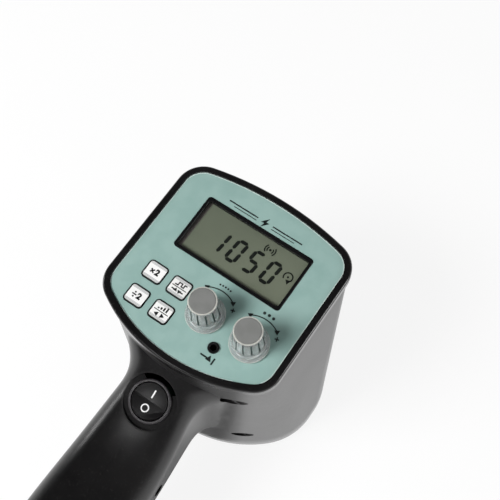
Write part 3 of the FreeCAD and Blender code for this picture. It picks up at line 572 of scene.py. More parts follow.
# Metal turned on a lathe, with rings round its axis
def turnedFinish(name, look, spot):
    material, tree, shader, grain, bump = startFinish(name, look)
    rings = effect(tree, turnedRings, {"Middle X": spot[0] * mm, "Middle Y": spot[1] * mm,
                                       "Rings Per Metre": look["rings"]})
    both = math2(tree, "ADD", math2(tree, "MULTIPLY", rings.outputs["Height"], 0.6), grain.outputs["Height"])
    tree.links.new(both, bump.inputs["Height"])
    return material


# Lacquered wire wound side by side
def windingFinish(name, look):
    material, tree, shader, grain, bump = startFinish(name, look)
    z = splitPlace(tree, objectPlace(tree), "Z")[0]
    wave = math2(tree, "SINE", math2(tree, "MULTIPLY", z, math.tau / 0.0007))
    turns = ranged(tree, wave, -1.0, 1.0)
    tree.links.new(turns, bump.inputs["Height"])
    tree.links.new(mixColour(tree, turns, tone(92, 40, 18), grain.outputs["Colour"]),
                   shader.inputs["Base Color"])
    return material


# A finish: two tones, the scales of its patches and grain, its least and most roughness, its bump, and more
def paint(first, second, patch, grain, low, high, bump, **more):
    return {"colour": tone(*first), "second": tone(*second), "patch": patch, "grain": grain, "glossLow": low,
            "glossHigh": high, "bump": bump, **more}


metal = {"Metallic": 1.0}
finishLooks = {
    "housingScrewSteel": paint((178, 180, 182), (150, 152, 156), 300, 2600, 0.28, 0.42, 0.1, plain=metal),
    "lampRingPlastic": paint((13, 12, 13), (17, 16, 17), 30, 3400, 0.28, 0.36, 0.16, depth=0.03, dust=0.02,
                             plain={"Coat Weight": 0.45, "Coat Roughness": 0.26}),
    # greyer than the black plastic: a painted highlight on the switch's bezel ring; the gland nut shares this
    # finish
    "paintedSheenGrey": paint((46, 44, 46), (52, 50, 52), 60, 3200, 0.3, 0.38, 0.12, depth=0.02),
    "rockerPlastic": paint((13, 12, 13), (17, 16, 17), 90, 3600, 0.27, 0.33, 0.25, depth=0.03),
    "framePlastic": paint((13, 13, 14), (17, 17, 18), 80, 3000, 0.24, 0.32, 0.06, depth=0.01),
    "panelFilm": paint((150, 180, 174), (142, 173, 167), 95, 2300, 0.42, 0.52, 0.2, depth=0.02, dust=0.03),
    # pale tone for the painted highlight along the film's edge at the rim
    "rimHighlightPaint": paint((204, 222, 216), (196, 214, 208), 120, 2300, 0.3, 0.4, 0.05),
    "panelInk": paint((24, 30, 30), (32, 38, 38), 300, 3000, 0.4, 0.5, 0.05),
    "cellInk": paint((22, 25, 23), (30, 33, 30), 150, 3000, 0.3, 0.4, 0.02),
    "whiteInk": paint((236, 236, 236), (222, 222, 222), 300, 3000, 0.4, 0.5, 0.05),
    "keyBorder": paint((16, 17, 17), (22, 23, 23), 150, 3000, 0.35, 0.45, 0.05),
    "windowClear": paint((34, 36, 34), (26, 28, 26), 60, 2000, 0.03, 0.08, 0.01, depth=0.005,
                         plain={"Alpha": 0.09, "IOR": 1.5}),
    "knobClear": paint((246, 247, 247), (240, 243, 243), 120, 1500, 0.05, 0.1, 0.06, depth=0.02,
                       plain={"Transmission Weight": 0.78, "IOR": 1.49}),
    # paler, less clear tone painted as the highlight on the knob's top ring and skirt edge
    "knobRimHighlight": paint((204, 204, 196), (194, 195, 188), 150, 1500, 0.1, 0.2, 0.04,
                      plain={"Transmission Weight": 0.15, "IOR": 1.49}),
    "slotShade": paint((104, 122, 118), (88, 106, 103), 200, 2500, 0.35, 0.5, 0.1),
    "capGrey": paint((127, 128, 126), (121, 122, 120), 150, 3500, 0.42, 0.52, 0.15, depth=0.02, rings=1600),
    "jackPlastic": paint((14, 14, 15), (19, 19, 20), 150, 3000, 0.25, 0.35, 0.08),
    "jackContact": paint((110, 84, 66), (90, 66, 52), 500, 3000, 0.3, 0.4, 0.05, plain=metal),
    "steel": paint((172, 175, 178), (152, 155, 160), 220, 2500, 0.26, 0.4, 0.1, plain=metal),
    "brass": paint((196, 160, 88), (178, 140, 72), 200, 2400, 0.24, 0.38, 0.1, plain=metal),
    "nickel": paint((188, 186, 180), (170, 168, 162), 200, 2400, 0.2, 0.32, 0.08, plain=metal),
    "aluminium": paint((196, 198, 200), (182, 184, 188), 160, 1800, 0.3, 0.42, 0.15, stretch=(1, 12, 1),
                       plain=metal),
    "reflectorMirror": paint((222, 224, 226), (212, 214, 218), 60, 900, 0.08, 0.16, 0.12, depth=0.05,
                             plain=metal),
    "tubeQuartz": paint((236, 240, 242), (226, 232, 236), 120, 900, 0.03, 0.07, 0.02,
                        plain={"Transmission Weight": 0.92, "IOR": 1.46}),
    "lensClear": paint((236, 242, 242), (226, 236, 236), 50, 700, 0.03, 0.08, 0.04, depth=0.02,
                       plain={"Transmission Weight": 0.92, "IOR": 1.5}),
    "copperWire": paint((178, 92, 48), (150, 70, 34), 300, 2400, 0.25, 0.4, 0.4, depth=0.15,
                        plain={"Metallic": 0.8}),
    "leadSleeve": paint((186, 44, 40), (170, 36, 34), 200, 2400, 0.4, 0.5, 0.1),
    "sealRubber": paint((42, 42, 44), (52, 52, 54), 120, 2800, 0.6, 0.75, 0.25, dust=0.06),
    "glandRubber": paint((28, 28, 29), (36, 36, 37), 120, 3000, 0.5, 0.62, 0.25, dust=0.05),
    "ceramicWhite": paint((226, 222, 210), (214, 209, 196), 120, 2600, 0.55, 0.7, 0.3),
    "ferriteGrey": paint((58, 58, 62), (48, 48, 52), 220, 2400, 0.5, 0.65, 0.35),
    "canSleeve": paint((26, 42, 78), (22, 36, 68), 80, 2000, 0.22, 0.32, 0.1),
    "chipBlack": paint((34, 34, 36), (40, 40, 42), 200, 3000, 0.45, 0.6, 0.3),
    "blockGreen": paint((38, 110, 84), (32, 98, 74), 90, 2600, 0.35, 0.45, 0.1),
    "connectorWhite": paint((222, 219, 208), (212, 208, 196), 90, 2600, 0.35, 0.45, 0.1),
    "ribbonGrey": paint((168, 168, 172), (150, 150, 156), 20, 900, 0.4, 0.5, 0.4, stretch=(30, 1, 1),
                        depth=0.1),
    "platePlastic": paint((34, 34, 35), (42, 42, 43), 60, 3000, 0.45, 0.58, 0.2),
    "holderPlastic": paint((206, 206, 200), (196, 196, 190), 60, 3000, 0.45, 0.58, 0.15),
    "fuseGlass": paint((206, 208, 206), (190, 192, 190), 150, 1500, 0.08, 0.16, 0.04),
}
finishes = {name: simpleFinish(name, look) for name, look in finishLooks.items()}
finishes["housingPlastic"] = housingFinish("housingPlastic")
finishes["displayCell"] = cellFinish("displayCell")
finishes["circuitBoard"] = boardFinish("circuitBoard")
finishes["coilWire"] = windingFinish("coilWire", finishLooks["copperWire"])
for title, middleY in (("keyFaceUpper", keySpots["double"][1]), ("keyFaceLower", keySpots["halve"][1])):
    finishes[title] = keyFinish(title, middleY)
for title, spot in knobSpots.items():
    finishes[title + "CapGrey"] = turnedFinish(title + "CapGrey", finishLooks["capGrey"], spot)
print("materials made:", len(finishes))

nodeFinishes = {
    "lens_seal": "sealRubber", "reflector": "reflectorMirror", "flash_tube": "tubeQuartz",
    "tube_electrodes": "nickel", "tube_holder": "ceramicWhite", "tube_leads": "leadSleeve",
    "trigger_coil": "coilWire", "trigger_lead": "leadSleeve", "power_board": "circuitBoard",
    "power_board_screws": "steel", "flash_capacitor": "canSleeve", "transformer_core": "ferriteGrey",
    "transformer_winding": "coilWire", "fuse": "fuseGlass", "fuse_clips": "nickel", "heat_sink": "aluminium",
    "power_transistor": "chipBlack", "terminal_block": "blockGreen", "board_connectors": "connectorWhite",
    "signal_ribbon": "ribbonGrey", "panel_plate": "platePlastic", "panel_overlay": "panelFilm",
    "lcd_glass": "displayCell", "lcd_holder": "holderPlastic", "control_board": "circuitBoard",
    "control_board_screws": "steel", "control_chip": "chipBlack", "key_board": "circuitBoard",
    "board_spacers": "connectorWhite", "tact_switches": "chipBlack", "switch_terminals": "brass",
    "gland_nut": "paintedSheenGrey", "lamp_lens": "lensClear",
}
for title in knobSpots:
    nodeFinishes[title + "_pot"] = "steel"
    nodeFinishes[title + "_pot_shaft"] = "brass"
    nodeFinishes[title + "_pot_nut"] = "nickel"


def dressNodes():
    for node, title in nodeFinishes.items():
        data = nodes[node].data
        data.materials.clear()
        data.materials.append(finishes[title])


# Camera, floor and light
shot = {"place": (0.113784, -0.113957, 0.564920), "lens": 64.8, "across": (0.8215813, 0.5695487, -0.0248676),
        "up": (-0.5185090, 0.7646640, 0.3826713), "back": (0.2369653, -0.3015015, 0.9235498)}
lamps = {"softBox": {"place": (-0.46, -0.64, 1.01), "size": 0.5, "power": 14.6, "mirrored": False},
         "fillBox": {"place": (0.75, -0.35, 1.0), "size": 0.7, "power": 2.2, "mirrored": False},
         "switchCard": {"place": (-0.31, -0.82, 1.12), "size": 0.32, "power": 1.35, "mirrored": True},
         "rightStrip": {"place": (1.05, 0.35, 0.38), "size": 0.35, "power": 3.0, "mirrored": True},
         "leftStrip": {"place": (-1.1, -0.3, 0.36), "size": 0.3, "power": 1.5, "mirrored": True}}
room = {"gap": 0.00015, "short": 0.008, "near": 0.3, "far": 0.7, "left": 0.3, "leftFrom": -0.75,
        "leftTo": 0.05,
        "foot": (0.0, -0.09, 0.0), "footFrom": 0.047, "footTo": 0.062, "horizon": 1.15,
        "low": 0.5, "middle": 0.15, "zenith": 0.06, "floor": 0.97, "aim": (0.0, -0.02, 0.1), "glow": 0.87}


def setCamera():
    bpy.ops.object.camera_add()
    camera = bpy.context.object
    axes = Matrix((shot["across"], shot["up"], shot["back"])).transposed().to_4x4()
    camera.matrix_world = Matrix.Translation(shot["place"]) @ axes
    camera.data.lens = shot["lens"]
    camera.data.sensor_width = 36.0
    camera.data.clip_start = 0.01
    bpy.context.scene.camera = camera


def setFloor():
    bpy.ops.mesh.primitive_plane_add(size=24.0, location=(0, 0, -room["gap"]))
    floor = named("studioFloor")
    material = bpy.data.materials.new("studioFloor")
    material.use_nodes = True
    tree = material.node_tree
    shader = tree.nodes["Principled BSDF"]
    shader.inputs["Roughness"].default_value = 0.9
    shader.inputs["Specular IOR Level"].default_value = 0.1
    place = objectPlace(tree)
    flecks = ranged(tree, noise(tree, place, 12.0), 0.3, 0.7, 0.985, 1.0)
    level = room["floor"]
    tree.links.new(mixColour(tree, flecks, (0, 0, 0, 1), (level, level, level, 1)),
                   shader.inputs["Base Color"])
    white = tree.nodes.new("ShaderNodeEmission")
    path = tree.nodes.new("ShaderNodeLightPath")
    away = vectorStep(tree, "LENGTH", place)["Value"]
    bare = ranged(tree, away, room["near"], room["far"], room["glow"], 1.0)
    # What the glossy walls mirror is darker under the handle's foot
    byFoot = vectorStep(tree, "DISTANCE", place, room["foot"])["Value"]
    shine = ranged(tree, byFoot, room["footFrom"], room["footTo"], 0.0, room["glow"])
    looked = math2(tree, "MULTIPLY", path.outputs["Is Camera Ray"], bare)
    mirrored = math2(tree, "MAXIMUM", path.outputs["Is Glossy Ray"], path.outputs["Is Transmission Ray"])
    blend = tree.nodes.new("ShaderNodeMixShader")
    share = math2(tree, "MAXIMUM", looked, math2(tree, "MULTIPLY", mirrored, shine))
    for socket, value in zip(blend.inputs, (share, shader.outputs[0], white.outputs[0])):
        tree.links.new(value, socket)
    # Seen from below, and by what rests on it, the floor lets light through, so the lamp end shows
    clear = tree.nodes.new("ShaderNodeBsdfTransparent")
    side = tree.nodes.new("ShaderNodeNewGeometry")
    short = math2(tree, "LESS_THAN", path.outputs["Ray Length"], room["short"])
    through = math2(tree, "MAXIMUM", side.outputs["Backfacing"], short)
    opened = tree.nodes.new("ShaderNodeMixShader")
    for socket, value in zip(opened.inputs, (through, blend.outputs[0], clear.outputs[0])):
        tree.links.new(value, socket)
    tree.links.new(opened.outputs[0], tree.nodes["Material Output"].inputs["Surface"])
    floor.data.materials.append(material)


def setLight():
    world = bpy.data.worlds.new("studioRoom")
    bpy.context.scene.world = world
    world.use_nodes = True
    tree = world.node_tree
    sky = tree.nodes["Background"]
    across, up = splitPlace(tree, tree.nodes.new("ShaderNodeTexCoord").outputs["Generated"], "XZ")
    shade = ranged(tree, across, room["leftFrom"], room["leftTo"], room["left"], 1.0)
    ramp = tree.nodes.new("ShaderNodeValToRGB")
    tree.links.new(ranged(tree, up, 0.0, 1.0), ramp.inputs[0])
    for element, key in zip(ramp.color_ramp.elements, ("horizon", "zenith")):
        element.color = (room[key],) * 3 + (1,)
    for spot, key in ((0.16, "low"), (0.38, "middle")):
        ramp.color_ramp.elements.new(spot).color = (room[key],) * 3 + (1,)
    path = tree.nodes.new("ShaderNodeLightPath")
    dimmed = mixColour(tree, shade, (0, 0, 0, 1), ramp.outputs[0])
    tree.links.new(mixColour(tree, path.outputs["Is Camera Ray"], dimmed, (1, 1, 1, 1)), sky.inputs["Color"])
    for name, lamp in lamps.items():
        bpy.ops.object.light_add(type="AREA", location=lamp["place"])
        light = named(name)
        light.data.size = lamp["size"]
        light.data.energy = lamp["power"]
        light.visible_glossy = lamp["mirrored"]
        way = Vector(lamp["place"]) - Vector(room["aim"])
        light.rotation_euler = way.to_track_quat("Z", "Y").to_euler()
    bpy.context.scene.view_settings.view_transform = "Standard"


dressNodes()
setCamera()
setFloor()
setLight()
print("camera, floor and light set")


# the switch ring's grey finish is a painted highlight
for node, name, title, slot in (
        ("left_housing", "leftShell", "housingPlastic", "housing_plastic"),
        ("right_housing", "rightShell", "housingPlastic", "housing_plastic"),
        ("lamp_bezel", "lampRing", "lampRingPlastic", "housing_plastic"),
        ("tripod_bush", "tripodBush", "brass", "brass"),
        ("switch_body", "switchRing", "paintedSheenGrey", "black_plastic")):
    settle(welded(node, name), title, "housing", 28, (node,))
print("shells in place")


screwLook = {"headRadius": 2.75, "headHigh": 2.2, "shank": 1.5, "long": 21.9, "short": 23.9, "crossWide": 0.75,
             "crossLong": 3.1, "crossDeep": 1.3}


def makeScrew(long):
    look = screwLook
    r, h, s = look["headRadius"], look["headHigh"], look["shank"]
    profile = [(0, h), (r * 0.55, h), (r * 0.86, h - 0.25), (r * 0.98, h - 0.8), (r, 0.0), (s, 0.0),
               (s, -long + 1.6), (0.3, -long), (0, -long)]
    body = turned("screw", profile, steps=32)
    for turn in (0.0, math.pi / 2):
        bpy.ops.mesh.primitive_cube_add(size=1, location=(0, 0, (h - look["crossDeep"] / 2 + 0.01) * mm),
                                        rotation=(0, 0, turn))
        cutter = named("cross")
        cutter.scale = [look[key] * mm for key in ("crossLong", "crossWide", "crossDeep")]
        carve(body, freeze(cutter))
    return body


def placeScrews(name, title, long, places, node):
    model = makeScrew(long)
    copies = []
    for place in places:
        copies.append(twin(model, "screwCopy"))
        copies[-1].data.transform(place)
    bpy.data.objects.remove(model)
    settle(joinUp(copies, name), title, "housing", 30, (node,))


placeScrews("housingScrews", "housingScrewSteel", screwLook["long"],
            [moved(14, y, z) @ spun(math.pi / 2, "Y") @ spun(y * 0.3) for y, z in housingScrewSpots],
            "housing_screws")
placeScrews("bezelScrews", "steel", screwLook["short"],
            [moved(x, y, 2.2) @ spun(math.pi, "X") @ spun(x * 0.7 + y) for x, y in bezelScrewSpots],
            "bezel_screws")
print("screws in place")


rimHighlightLook = {"edgeWide": 0.45, "edgeThick": 0.05}
printLook = {"thick": 0.05, "arcRadius": 15.2, "arcHalf": 32.6, "arcWide": 0.62, "arrow": 2.6, "plus": 2.4,
             "plusWide": 0.66, "plusTurn": 0.28, "plusAt": (10.2, 9.6), "dotRadius": 17.9,
             "dots": {"fine": (5, 5.2, 0.55), "coarse": (3, 8.8, 0.85)}}


# A painted highlight: a pale strip on the film along its cut edge at the rim
def makeRimHighlightPaint():
    edge = welded("panel_overlay", "rimHighlightPaint")
    openUp(edge)
    choose(edge, lambda f: not (f.normal.z > 0.9 and f.calc_center_median().z > (panelTop - 0.1) * mm))
    bpy.ops.mesh.delete(type="FACE")
    everything()
    bpy.ops.mesh.dissolve_limited(angle_limit=0.01)
    everything()
    bpy.ops.mesh.inset(thickness=rimHighlightLook["edgeWide"] * mm)
    bpy.ops.mesh.delete(type="FACE")

    def inner(face):
        spot = face.calc_center_median() / mm
        return abs(spot.x) < 47 and -34 < spot.y < 47

    choose(edge, inner)
    bpy.ops.mesh.delete(type="FACE")
    closeUp()
    edge.data.transform(moved(0, 0, -panelTop))
    raiseSign(edge, panelTop, rimHighlightLook["edgeThick"])
    settle(edge, "rimHighlightPaint", "housing")


def makeKnobPrint():
    look = printLook
    signs = []
    half = math.radians(look["arcHalf"])
    for title, (x, y) in knobSpots.items():
        signs.append(ring((x, y), look["arcRadius"], look["arcWide"], math.pi / 2 - half, math.pi / 2 + half,
                          144))
        for side in (-1, 1):
            angle = math.pi / 2 - side * half
            spot = (x + look["arcRadius"] * math.cos(angle), y + look["arcRadius"] * math.sin(angle))
            signs.append(arrowHead(spot, look["arrow"], angle - side * math.pi / 2 + side * 0.08))
        for turn in (0.0, math.pi / 2):
            signs.append(bar((x + look["plusAt"][0], y + look["plusAt"][1]), look["plus"], look["plusWide"],
                             turn + look["plusTurn"]))
        number, step, size = look["dots"][title]
        far = look["dotRadius"]
        for i in range(number):
            angle = math.radians(90 + step * (i - (number - 1) / 2))
            signs.append(dot((x + far * math.cos(angle), y + far * math.sin(angle)), size))
    return signs


def makeTitlePrint():
    signs = [bar((side * 13.9, 45.7), 18.4, 0.75) for side in (-1, 1)]
    signs += [bar((side * 11.9, 44.0), 14.4, 0.4) for side in (-1, 1)]
    bolt = drawLine("bolt", [(1.1, 48.6, 0), (-2.3, 44.8, 0), (-0.4, 44.8, 0), (-1.2, 41.9, 0), (2.3, 45.9, 0),
                             (0.5, 45.9, 0)])
    openAll(bolt, "VERT")
    bpy.ops.mesh.edge_face_add()
    closeUp()
    return signs + [freeze(bolt)]


def makeJackPrint():
    x, y = jackSpot[0] + 0.4, jackSpot[1] - 6.0
    return [bar((x - 2.2, y), 4.0, 0.9), arrowHead((x + 0.9, y), 3.0, 0.0), bar((x + 3.5, y), 0.9, 3.7)]


makeRimHighlightPaint()
panelPrint = joinUp(makeKnobPrint() + makeTitlePrint() + makeJackPrint(), "panelPrint")
raiseSign(panelPrint, panelTop, printLook["thick"])
settle(panelPrint, "panelInk", "housing")
print("panel print in place")


frameLook = {"half": 33.4, "low": 8.1, "high": 41.9, "base": 128.0, "top": 130.3, "corner": 2.0, "side": 1.7,
             "foot": 1.7, "head": 2.4, "edge": 0.25, "paneGap": 0.3, "paneThick": 0.6, "paneCorner": 1.8}
digitLook = {"words": "1050", "spots": (-14.6, -3.9, 6.9, 17.6), "middle": 24.3, "high": 14.4, "wide": 7.2,
             "stroke": 1.95, "gap": 0.28, "slant": 0.1, "base": 127.2, "thick": 0.08, "point": 0.42,
             "turnSign": (26.6, 27.4, 2.5, 0.75), "turnFrom": -1.1, "turnTo": 3.9, "turnArrow": 2.6,
             "turnDot": 0.6,
             "wave": (10.4, 34.8), "waves": (1.75, 3.05), "waveWide": 0.72}
segments = {"0": "abcdef", "1": "bc", "5": "afgcd"}


def makeDisplayFrame():
    look = frameLook
    half, low, high, base, top = (look[key] for key in ("half", "low", "high", "base", "top"))
    outer = roundBlock("displayFrame", (-half, low, base), (half, high, top), look["corner"])
    half -= look["side"]
    carve(outer, roundBlock("opening", (-half, low + look["foot"], base - 2),
                            (half, high - look["head"], top + 2),
                            look["corner"] / 2))
    softEdges(outer, look["edge"], 3, 50)
    settle(outer, "framePlastic", "housing", 40, ("display_frame",))


def makeWindow():
    look = frameLook
    half, low, high, base, gap = (look[key] for key in ("half", "low", "high", "base", "paneGap"))
    pane = roundBlock("displayWindow", (-half + gap, low + gap, base - look["paneThick"]),
                      (half - gap, high - gap, base), look["paneCorner"])
    settle(pane, "windowClear", "housing", 40, ("lcd_window",))


def makeDigits():
    look = digitLook
    parts = []
    high, wide, stroke, gap = look["high"], look["wide"], look["stroke"], look["gap"]
    far, side, middle = (high - stroke) / 2, (wide - stroke) / 2, (high - stroke) / 4
    places = {"a": (0, far, 0), "g": (0, 0, 0), "d": (0, -far, 0), "b": (side, middle, 1),
              "c": (side, -middle, 1),
              "f": (-side, middle, 1), "e": (-side, -middle, 1)}
    for figure, spot in zip(look["words"], look["spots"]):
        for part in segments[figure]:
            x, y, standing = places[part]
            long = (far if standing else wide - stroke) - gap * 2
            piece = bar((x, y), long, stroke, standing * math.pi / 2, look["point"])
            lean = Matrix.Identity(4)
            lean[0][1] = look["slant"]
            piece.data.transform(moved(spot, look["middle"]) @ lean)
            parts.append(piece)
    x, y, radius, width = look["turnSign"]
    begin = look["turnFrom"]
    tip = (x + radius * math.cos(begin), y + radius * math.sin(begin))
    parts += [ring((x, y), radius, width, begin, look["turnTo"], 96),
              arrowHead(tip, look["turnArrow"], begin - math.pi / 2 - 0.25), dot((x, y), look["turnDot"]),
              dot(look["wave"], look["waveWide"])]
    for radius in look["waves"]:
        for side in (0.0, math.pi):
            parts.append(ring(look["wave"], radius, look["waveWide"], side - 0.75, side + 0.75, 72))
    digits = joinUp(parts, "displayDigits")
    raiseSign(digits, look["base"], look["thick"])
    settle(digits, "cellInk", "housing")


makeDisplayFrame()
makeWindow()
makeDigits()
print("display in place")


keyShape = {"wide": 11.6, "tall": 10.6, "corner": 2.0, "top": 130.4, "low": 126.65, "flange": 0.5,
            "flangeTop": 127.45, "border": 0.66, "edge": 0.12, "stem": 2.1, "stemLong": 1.6, "sign": 0.03}


def makeKeyBlank():
    look = keyShape
    w, t = look["wide"] / 2, look["tall"] / 2
    cap = roundBlock("keyBlank", (-w, -t, look["low"]), (w, t, look["top"]), look["corner"], 7)
    openUp(cap)
    choose(cap, lambda f: f.normal.z > 0.9)
    bpy.ops.mesh.inset(thickness=look["border"] * mm)
    closeUp()
    for title in ("keyBorder", "keyFaceUpper"):
        cap.data.materials.append(finishes[title])
    openUp(cap)
    choose(cap, lambda f: f.normal.z > 0.9 and f.calc_center_median().xy.length < 0.5 * mm)
    bpy.context.object.active_material_index = 1
    bpy.ops.object.material_slot_assign()
    choose(cap, lambda e: all(abs(v.co.z - look["top"] * mm) < 1e-6 for v in e.verts) and len(e.link_faces) == 2
           and any(abs(f.normal.z) < 0.1 for f in e.link_faces), "EDGE")
    bpy.ops.mesh.bevel(offset=look["edge"] * mm, segments=3)
    closeUp()
    f = look["flange"]
    rest = roundBlock("keyRest", (-w - f, -t - f, look["low"]), (w + f, t + f, look["flangeTop"]),
                      look["corner"])
    high, foot = look["low"] + 0.05, look["low"] - look["stemLong"]
    stem = turned("keyStem", [(0, high), (look["stem"], high), (look["stem"], foot), (0, foot)], steps=24)
    for piece in (rest, stem):
        piece.data.materials.append(finishes["keyBorder"])
    return joinUp([cap, rest, stem], "keyBlank")


def strokes(points, width):
    parts = []
    for (x0, y0), (x1, y1) in zip(points, points[1:]):
        length = math.hypot(x1 - x0, y1 - y0) + width
        parts.append(bar(((x0 + x1) / 2, (y0 + y1) / 2), length, width, math.atan2(y1 - y0, x1 - x0)))
    return parts


def keySigns(title):
    if title in ("double", "halve"):
        figure = writing("2", 4.5, 0.26)
        figure.data.transform(moved(1.35, 0))
        if title == "double":
            return [figure] + [bar((-1.55, -0.15), 2.9, 0.8, turn) for turn in (math.pi / 4, -math.pi / 4)]
        return [figure, bar((-1.6, 0), 2.6, 0.75), dot((-1.6, 1.3), 0.5), dot((-1.6, -1.3), 0.5)]
    rule = [bar((0, -0.1), 8.6, 0.45)]
    if title == "trigger":
        pulse = strokes([(-3.0, 0.9), (-1.5, 0.9), (-1.5, 2.6), (0.4, 2.6), (0.4, 0.9), (1.9, 0.9), (1.9, 2.6),
                         (3.0, 2.6)], 0.65)
        return rule + pulse + [bar((-2.4, -1.9), 2.2, 0.7), arrowHead((-1.1, -1.9), 2.0, 0.0),
                               bar((2.4, -1.9), 2.2, 0.7), arrowHead((1.1, -1.9), 2.0, math.pi)]
    steps = [bar((-2.4 + i * 1.6, 0.75 + 0.35 * (i + 1)), 0.7 * (i + 1), 0.95, math.pi / 2) for i in range(4)]
    return rule + steps + [arrowHead((-1.6, -2.1), 2.3, math.pi / 2),
                           arrowHead((1.6, -1.9), 2.3, -math.pi / 2)]


def placeKeys():
    blank = makeKeyBlank()
    for title, (x, y) in keySpots.items():
        cap = twin(blank, title + "Key", (x, y, 0))
        face = "keyFaceUpper" if y > -20 else "keyFaceLower"
        settle(cap, "keyBorder " + face, title + "_button", 35, (title + "_key",))
        sign = joinUp(keySigns(title), title + "KeySign")
        sign.data.transform(moved(x, y))
        raiseSign(sign, keyShape["top"], keyShape["sign"])
        settle(sign, "keyBorder", title + "_button")
    bpy.data.objects.remove(blank)


placeKeys()
print("keys in place")


knobLook = {"base": 130.8, "skirt": 10.5, "skirtThick": 1.0, "waist": 8.5, "waistAt": 136.4, "top": 7.3,
            "high": 151.5, "well": 6.83, "wellTop": 134.2, "bore": 3.05, "boreTop": 145.65, "seat": 6.72,
            "seatAt": 150.0,
            "slots": 12, "slotWide": 0.75, "slotDeep": 0.9, "slotLow": 136.6, "slotTop": 150.3,
            "capHigh": 151.8,
            "capRadius": 6.6}


def makeKnob(title, spot):
    look = knobLook
    base, skirt, waist, top, high = (look[key] for key in ("base", "skirt", "waist", "top", "high"))
    rest = base + look["skirtThick"]
    profile = [(0.0, look["boreTop"]), (look["bore"], look["boreTop"]), (look["bore"], look["wellTop"]),
               (look["well"], look["wellTop"]), (look["well"], base), (skirt - 0.2, base), (skirt, base + 0.2),
               (skirt, rest - 0.2), (skirt - 0.15, rest)]
    for i in range(1, 7):
        angle = i / 6 * math.pi / 2
        profile.append((skirt - 0.25 - (skirt - 0.25 - waist) * math.sin(angle) ** 0.9,
                        rest + (look["waistAt"] - rest) * (1 - math.cos(angle))))
    profile += [(top + 0.22, high - 0.7), (top + 0.08, high - 0.2), (top - 0.15, high), (look["seat"], high),
                (look["seat"], look["seatAt"]), (0.0, look["seatAt"])]
    body = turned(title + "Knob", profile, spot, 96)
    for finish in ("knobClear", "knobRimHighlight"):
        body.data.materials.append(finishes[finish])
    openUp(body)
    # The top ring and the skirt's edge get a paler finish: a painted highlight
    for low, upper, inner in ((high - 0.12, high + 1, look["seat"] - 0.1),
                              (base + 0.75, base + 1.05, skirt - 0.4)):
        choose(body, lambda f: low * mm < f.calc_center_median().z < upper * mm and
               (f.calc_center_median().xy * 1000 - Vector(spot)).length > inner)
        body.active_material_index = 1
        bpy.ops.object.material_slot_assign()
    closeUp()
    lean = spun(-math.atan2(waist - top, high - look["waistAt"]), "Y")
    low, upper = look["slotLow"], look["slotTop"]
    cutters = []
    for i in range(look["slots"]):
        bpy.ops.mesh.primitive_cube_add(size=1)
        cutter = named("slotCutter")
        cutter.data.transform(Matrix.Diagonal((4 * mm, look["slotWide"] * mm, (upper - low) * mm, 1)))
        cutter.data.transform(moved(*spot, (low + upper) / 2) @ spun(math.tau * (i + 0.5) / look["slots"]) @
                              moved((waist + top) / 2 - look["slotDeep"] + 2, 0) @ lean)
        cutters.append(cutter)
    cutter = joinUp(cutters, "slotCutters")
    cutter.data.materials.append(finishes["slotShade"])
    carve(body, cutter, material_mode="TRANSFER")
    settle(body, "", title + "_control", 30, (title + "_knob",))
    r, z = look["capRadius"], look["capHigh"]
    cap = turned(title + "Cap", [(0, look["seatAt"]), (r, look["seatAt"]), (r, z - 0.28), (r - 0.1, z - 0.08),
                                 (r - 0.35, z), (r - 0.9, z - 0.03), (0, z - 0.03)], spot, 72)
    settle(cap, title + "CapGrey", title + "_control", 30, (title + "_knob_cap",))


for title, spot in knobSpots.items():
    makeKnob(title, spot)
print("knobs in place")


jackLook = {"top": 131.0, "radius": 3.0, "bore": 1.78, "deep": 14.0, "mouth": 0.35, "bodyWide": 8.0,
            "bodyTall": 10.0, "bodyLow": 113.6, "bodyTop": 127.5, "contact": (1.55, 1.74, 117.0, 125.5)}


def makeJack():
    look = jackLook
    x, y = jackSpot
    bore, radius, top, mouth = (look[key] for key in ("bore", "radius", "top", "mouth"))
    low = top - look["deep"]
    barrel = turned("jackBarrel", [(bore, low), (bore, top - mouth), (bore + mouth, top), (radius - 0.15, top),
                                   (radius, top - 0.15), (radius, 127.4), (radius, low)], jackSpot, 48,
                    closed=True)
    w, t = look["bodyWide"] / 2, look["bodyTall"] / 2
    body = roundBlock("jackBody", (x - w, y - t, look["bodyLow"]), (x + w, y + t, look["bodyTop"]), 0.4, 2)
    carve(body, turned("hole", [(0, low), (bore, low), (bore, 129), (0, 129)], jackSpot, 48))
    settle(joinUp([body, barrel], "triggerJack"), "jackPlastic", "housing", 35, ("ext_jack",))
    r0, r1, z0, z1 = look["contact"]
    contact = turned("jackContact", [(r0, z0), (r0, z1), (r1, z1), (r1, z0)], jackSpot, 32, closed=True)
    settle(contact, "jackContact", "housing")


makeJack()
print("jack in place")


rockerLook = {"radius": 10.15, "rise": 2.2, "valley": 7.0, "bottom": -5.0, "pivot": -0.5, "lean": -6.0,
              "edge": 0.3,
              "pin": 1.2, "pinHalf": 10.95, "on": (0.8, 4.7), "off": (1.95, 0.68), "markAt": 4.2,
              "markThick": 0.06}
rockerPlace = switchSeat @ moved(0, 0, rockerLook["pivot"]) @ spun(math.radians(rockerLook["lean"]), "X")


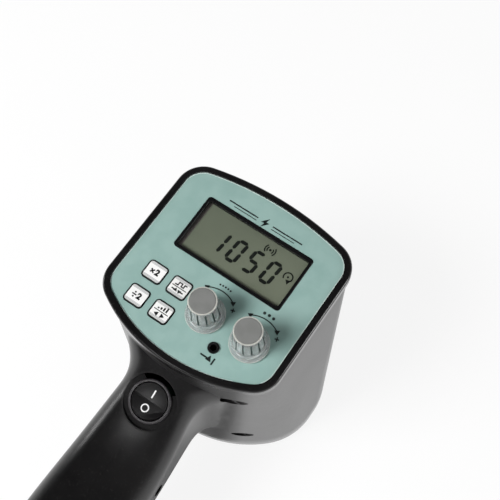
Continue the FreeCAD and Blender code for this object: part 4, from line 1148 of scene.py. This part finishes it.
def makeRocker():
    look = rockerLook
    dropSelection()
    bpy.ops.mesh.primitive_uv_sphere_add(segments=96, ring_count=64, radius=look["radius"] * mm)
    ball = named("rockerCap")
    openAll(ball)
    bpy.ops.mesh.bisect(plane_co=(0, 0, look["bottom"] * mm), plane_no=(0, 0, 1), use_fill=True,
                        clear_inner=True)
    closeUp()
    for side in (-1, 1):
        bpy.ops.mesh.primitive_cube_add(size=40 * mm)
        roof = named("roof")
        tilt = spun(side * math.radians(look["valley"]), "X")
        roof.data.transform(moved(0, 0, look["rise"]) @ tilt @ moved(0, side * 20, 20))
        carve(ball, roof)
    softEdges(ball, look["edge"], 3, 40)
    ball.data.transform(rockerPlace)
    r, half = look["pin"], look["pinHalf"]
    pin = turned("rockerPin", [(0, -half), (r, -half), (r, half), (0, half)], steps=24)
    pin.data.transform(rockerPlace @ spun(math.pi / 2, "Y"))
    settle(joinUp([ball, pin], "rockerCap"), "rockerPlastic", "power_rocker", 40, ("rocker",))


def makeRockerMarks():
    look = rockerLook
    slope = math.radians(look["valley"])
    marks = {"rockerOn": (bar((0, 0), *look["on"]), 1), "rockerOff": (ring((0, 0), *look["off"], corners=48),
                                                                      -1)}
    for name, (mark, side) in marks.items():
        raiseSign(mark, 0.0, look["markThick"], name)
        lift = look["rise"] + look["markAt"] * math.tan(slope) - 0.01
        mark.data.transform(rockerPlace @ moved(0, side * look["markAt"], lift) @ spun(side * slope, "X"))
        settle(mark, "whiteInk", "power_rocker")


makeRocker()
makeRockerMarks()
print("switch in place")


glandLook = {"z": 81.0, "head": 8.5, "out": 7.0, "bore": 3.6, "thread": 6.0, "inside": 9.0, "grips": 16}


def makeGland():
    look = glandLook
    bore, head, out, inside = (look[key] for key in ("bore", "head", "out", "inside"))
    profile = [(bore, -inside), (bore, out - 0.6), (bore + 0.6, out), (head - 2.6, out),
               (head - 1.2, out - 0.7),
               (head - 0.5, out - 1.9), (head - 0.35, out - 2.3), (head - 0.35, 1.7), (head, 1.3),
               (head, 0.25), (head - 0.25, 0.0), (look["thread"], 0.0), (look["thread"], -inside)]
    body = turned("cordGland", profile, steps=96, closed=True)
    openUp(body)
    grip = math.tau / 96

    def onGrip(face):
        spot = face.calc_center_median() / mm
        radius = math.hypot(spot.x, spot.y)
        step = int((math.atan2(spot.y, spot.x) % math.tau) / grip) % (96 // look["grips"])
        return 1.9 < spot.z < out - 2.3 and radius > head - 1 and step in (0, 1)

    choose(body, onGrip)
    bpy.ops.mesh.inset(thickness=0.05 * mm, depth=-0.35 * mm)
    closeUp()
    body.data.transform(moved(0, handleEnd, look["z"]) @ spun(math.pi / 2, "X"))
    settle(body, "glandRubber", "housing", 30, ("cord_gland",))


makeGland()
print("handle end in place")
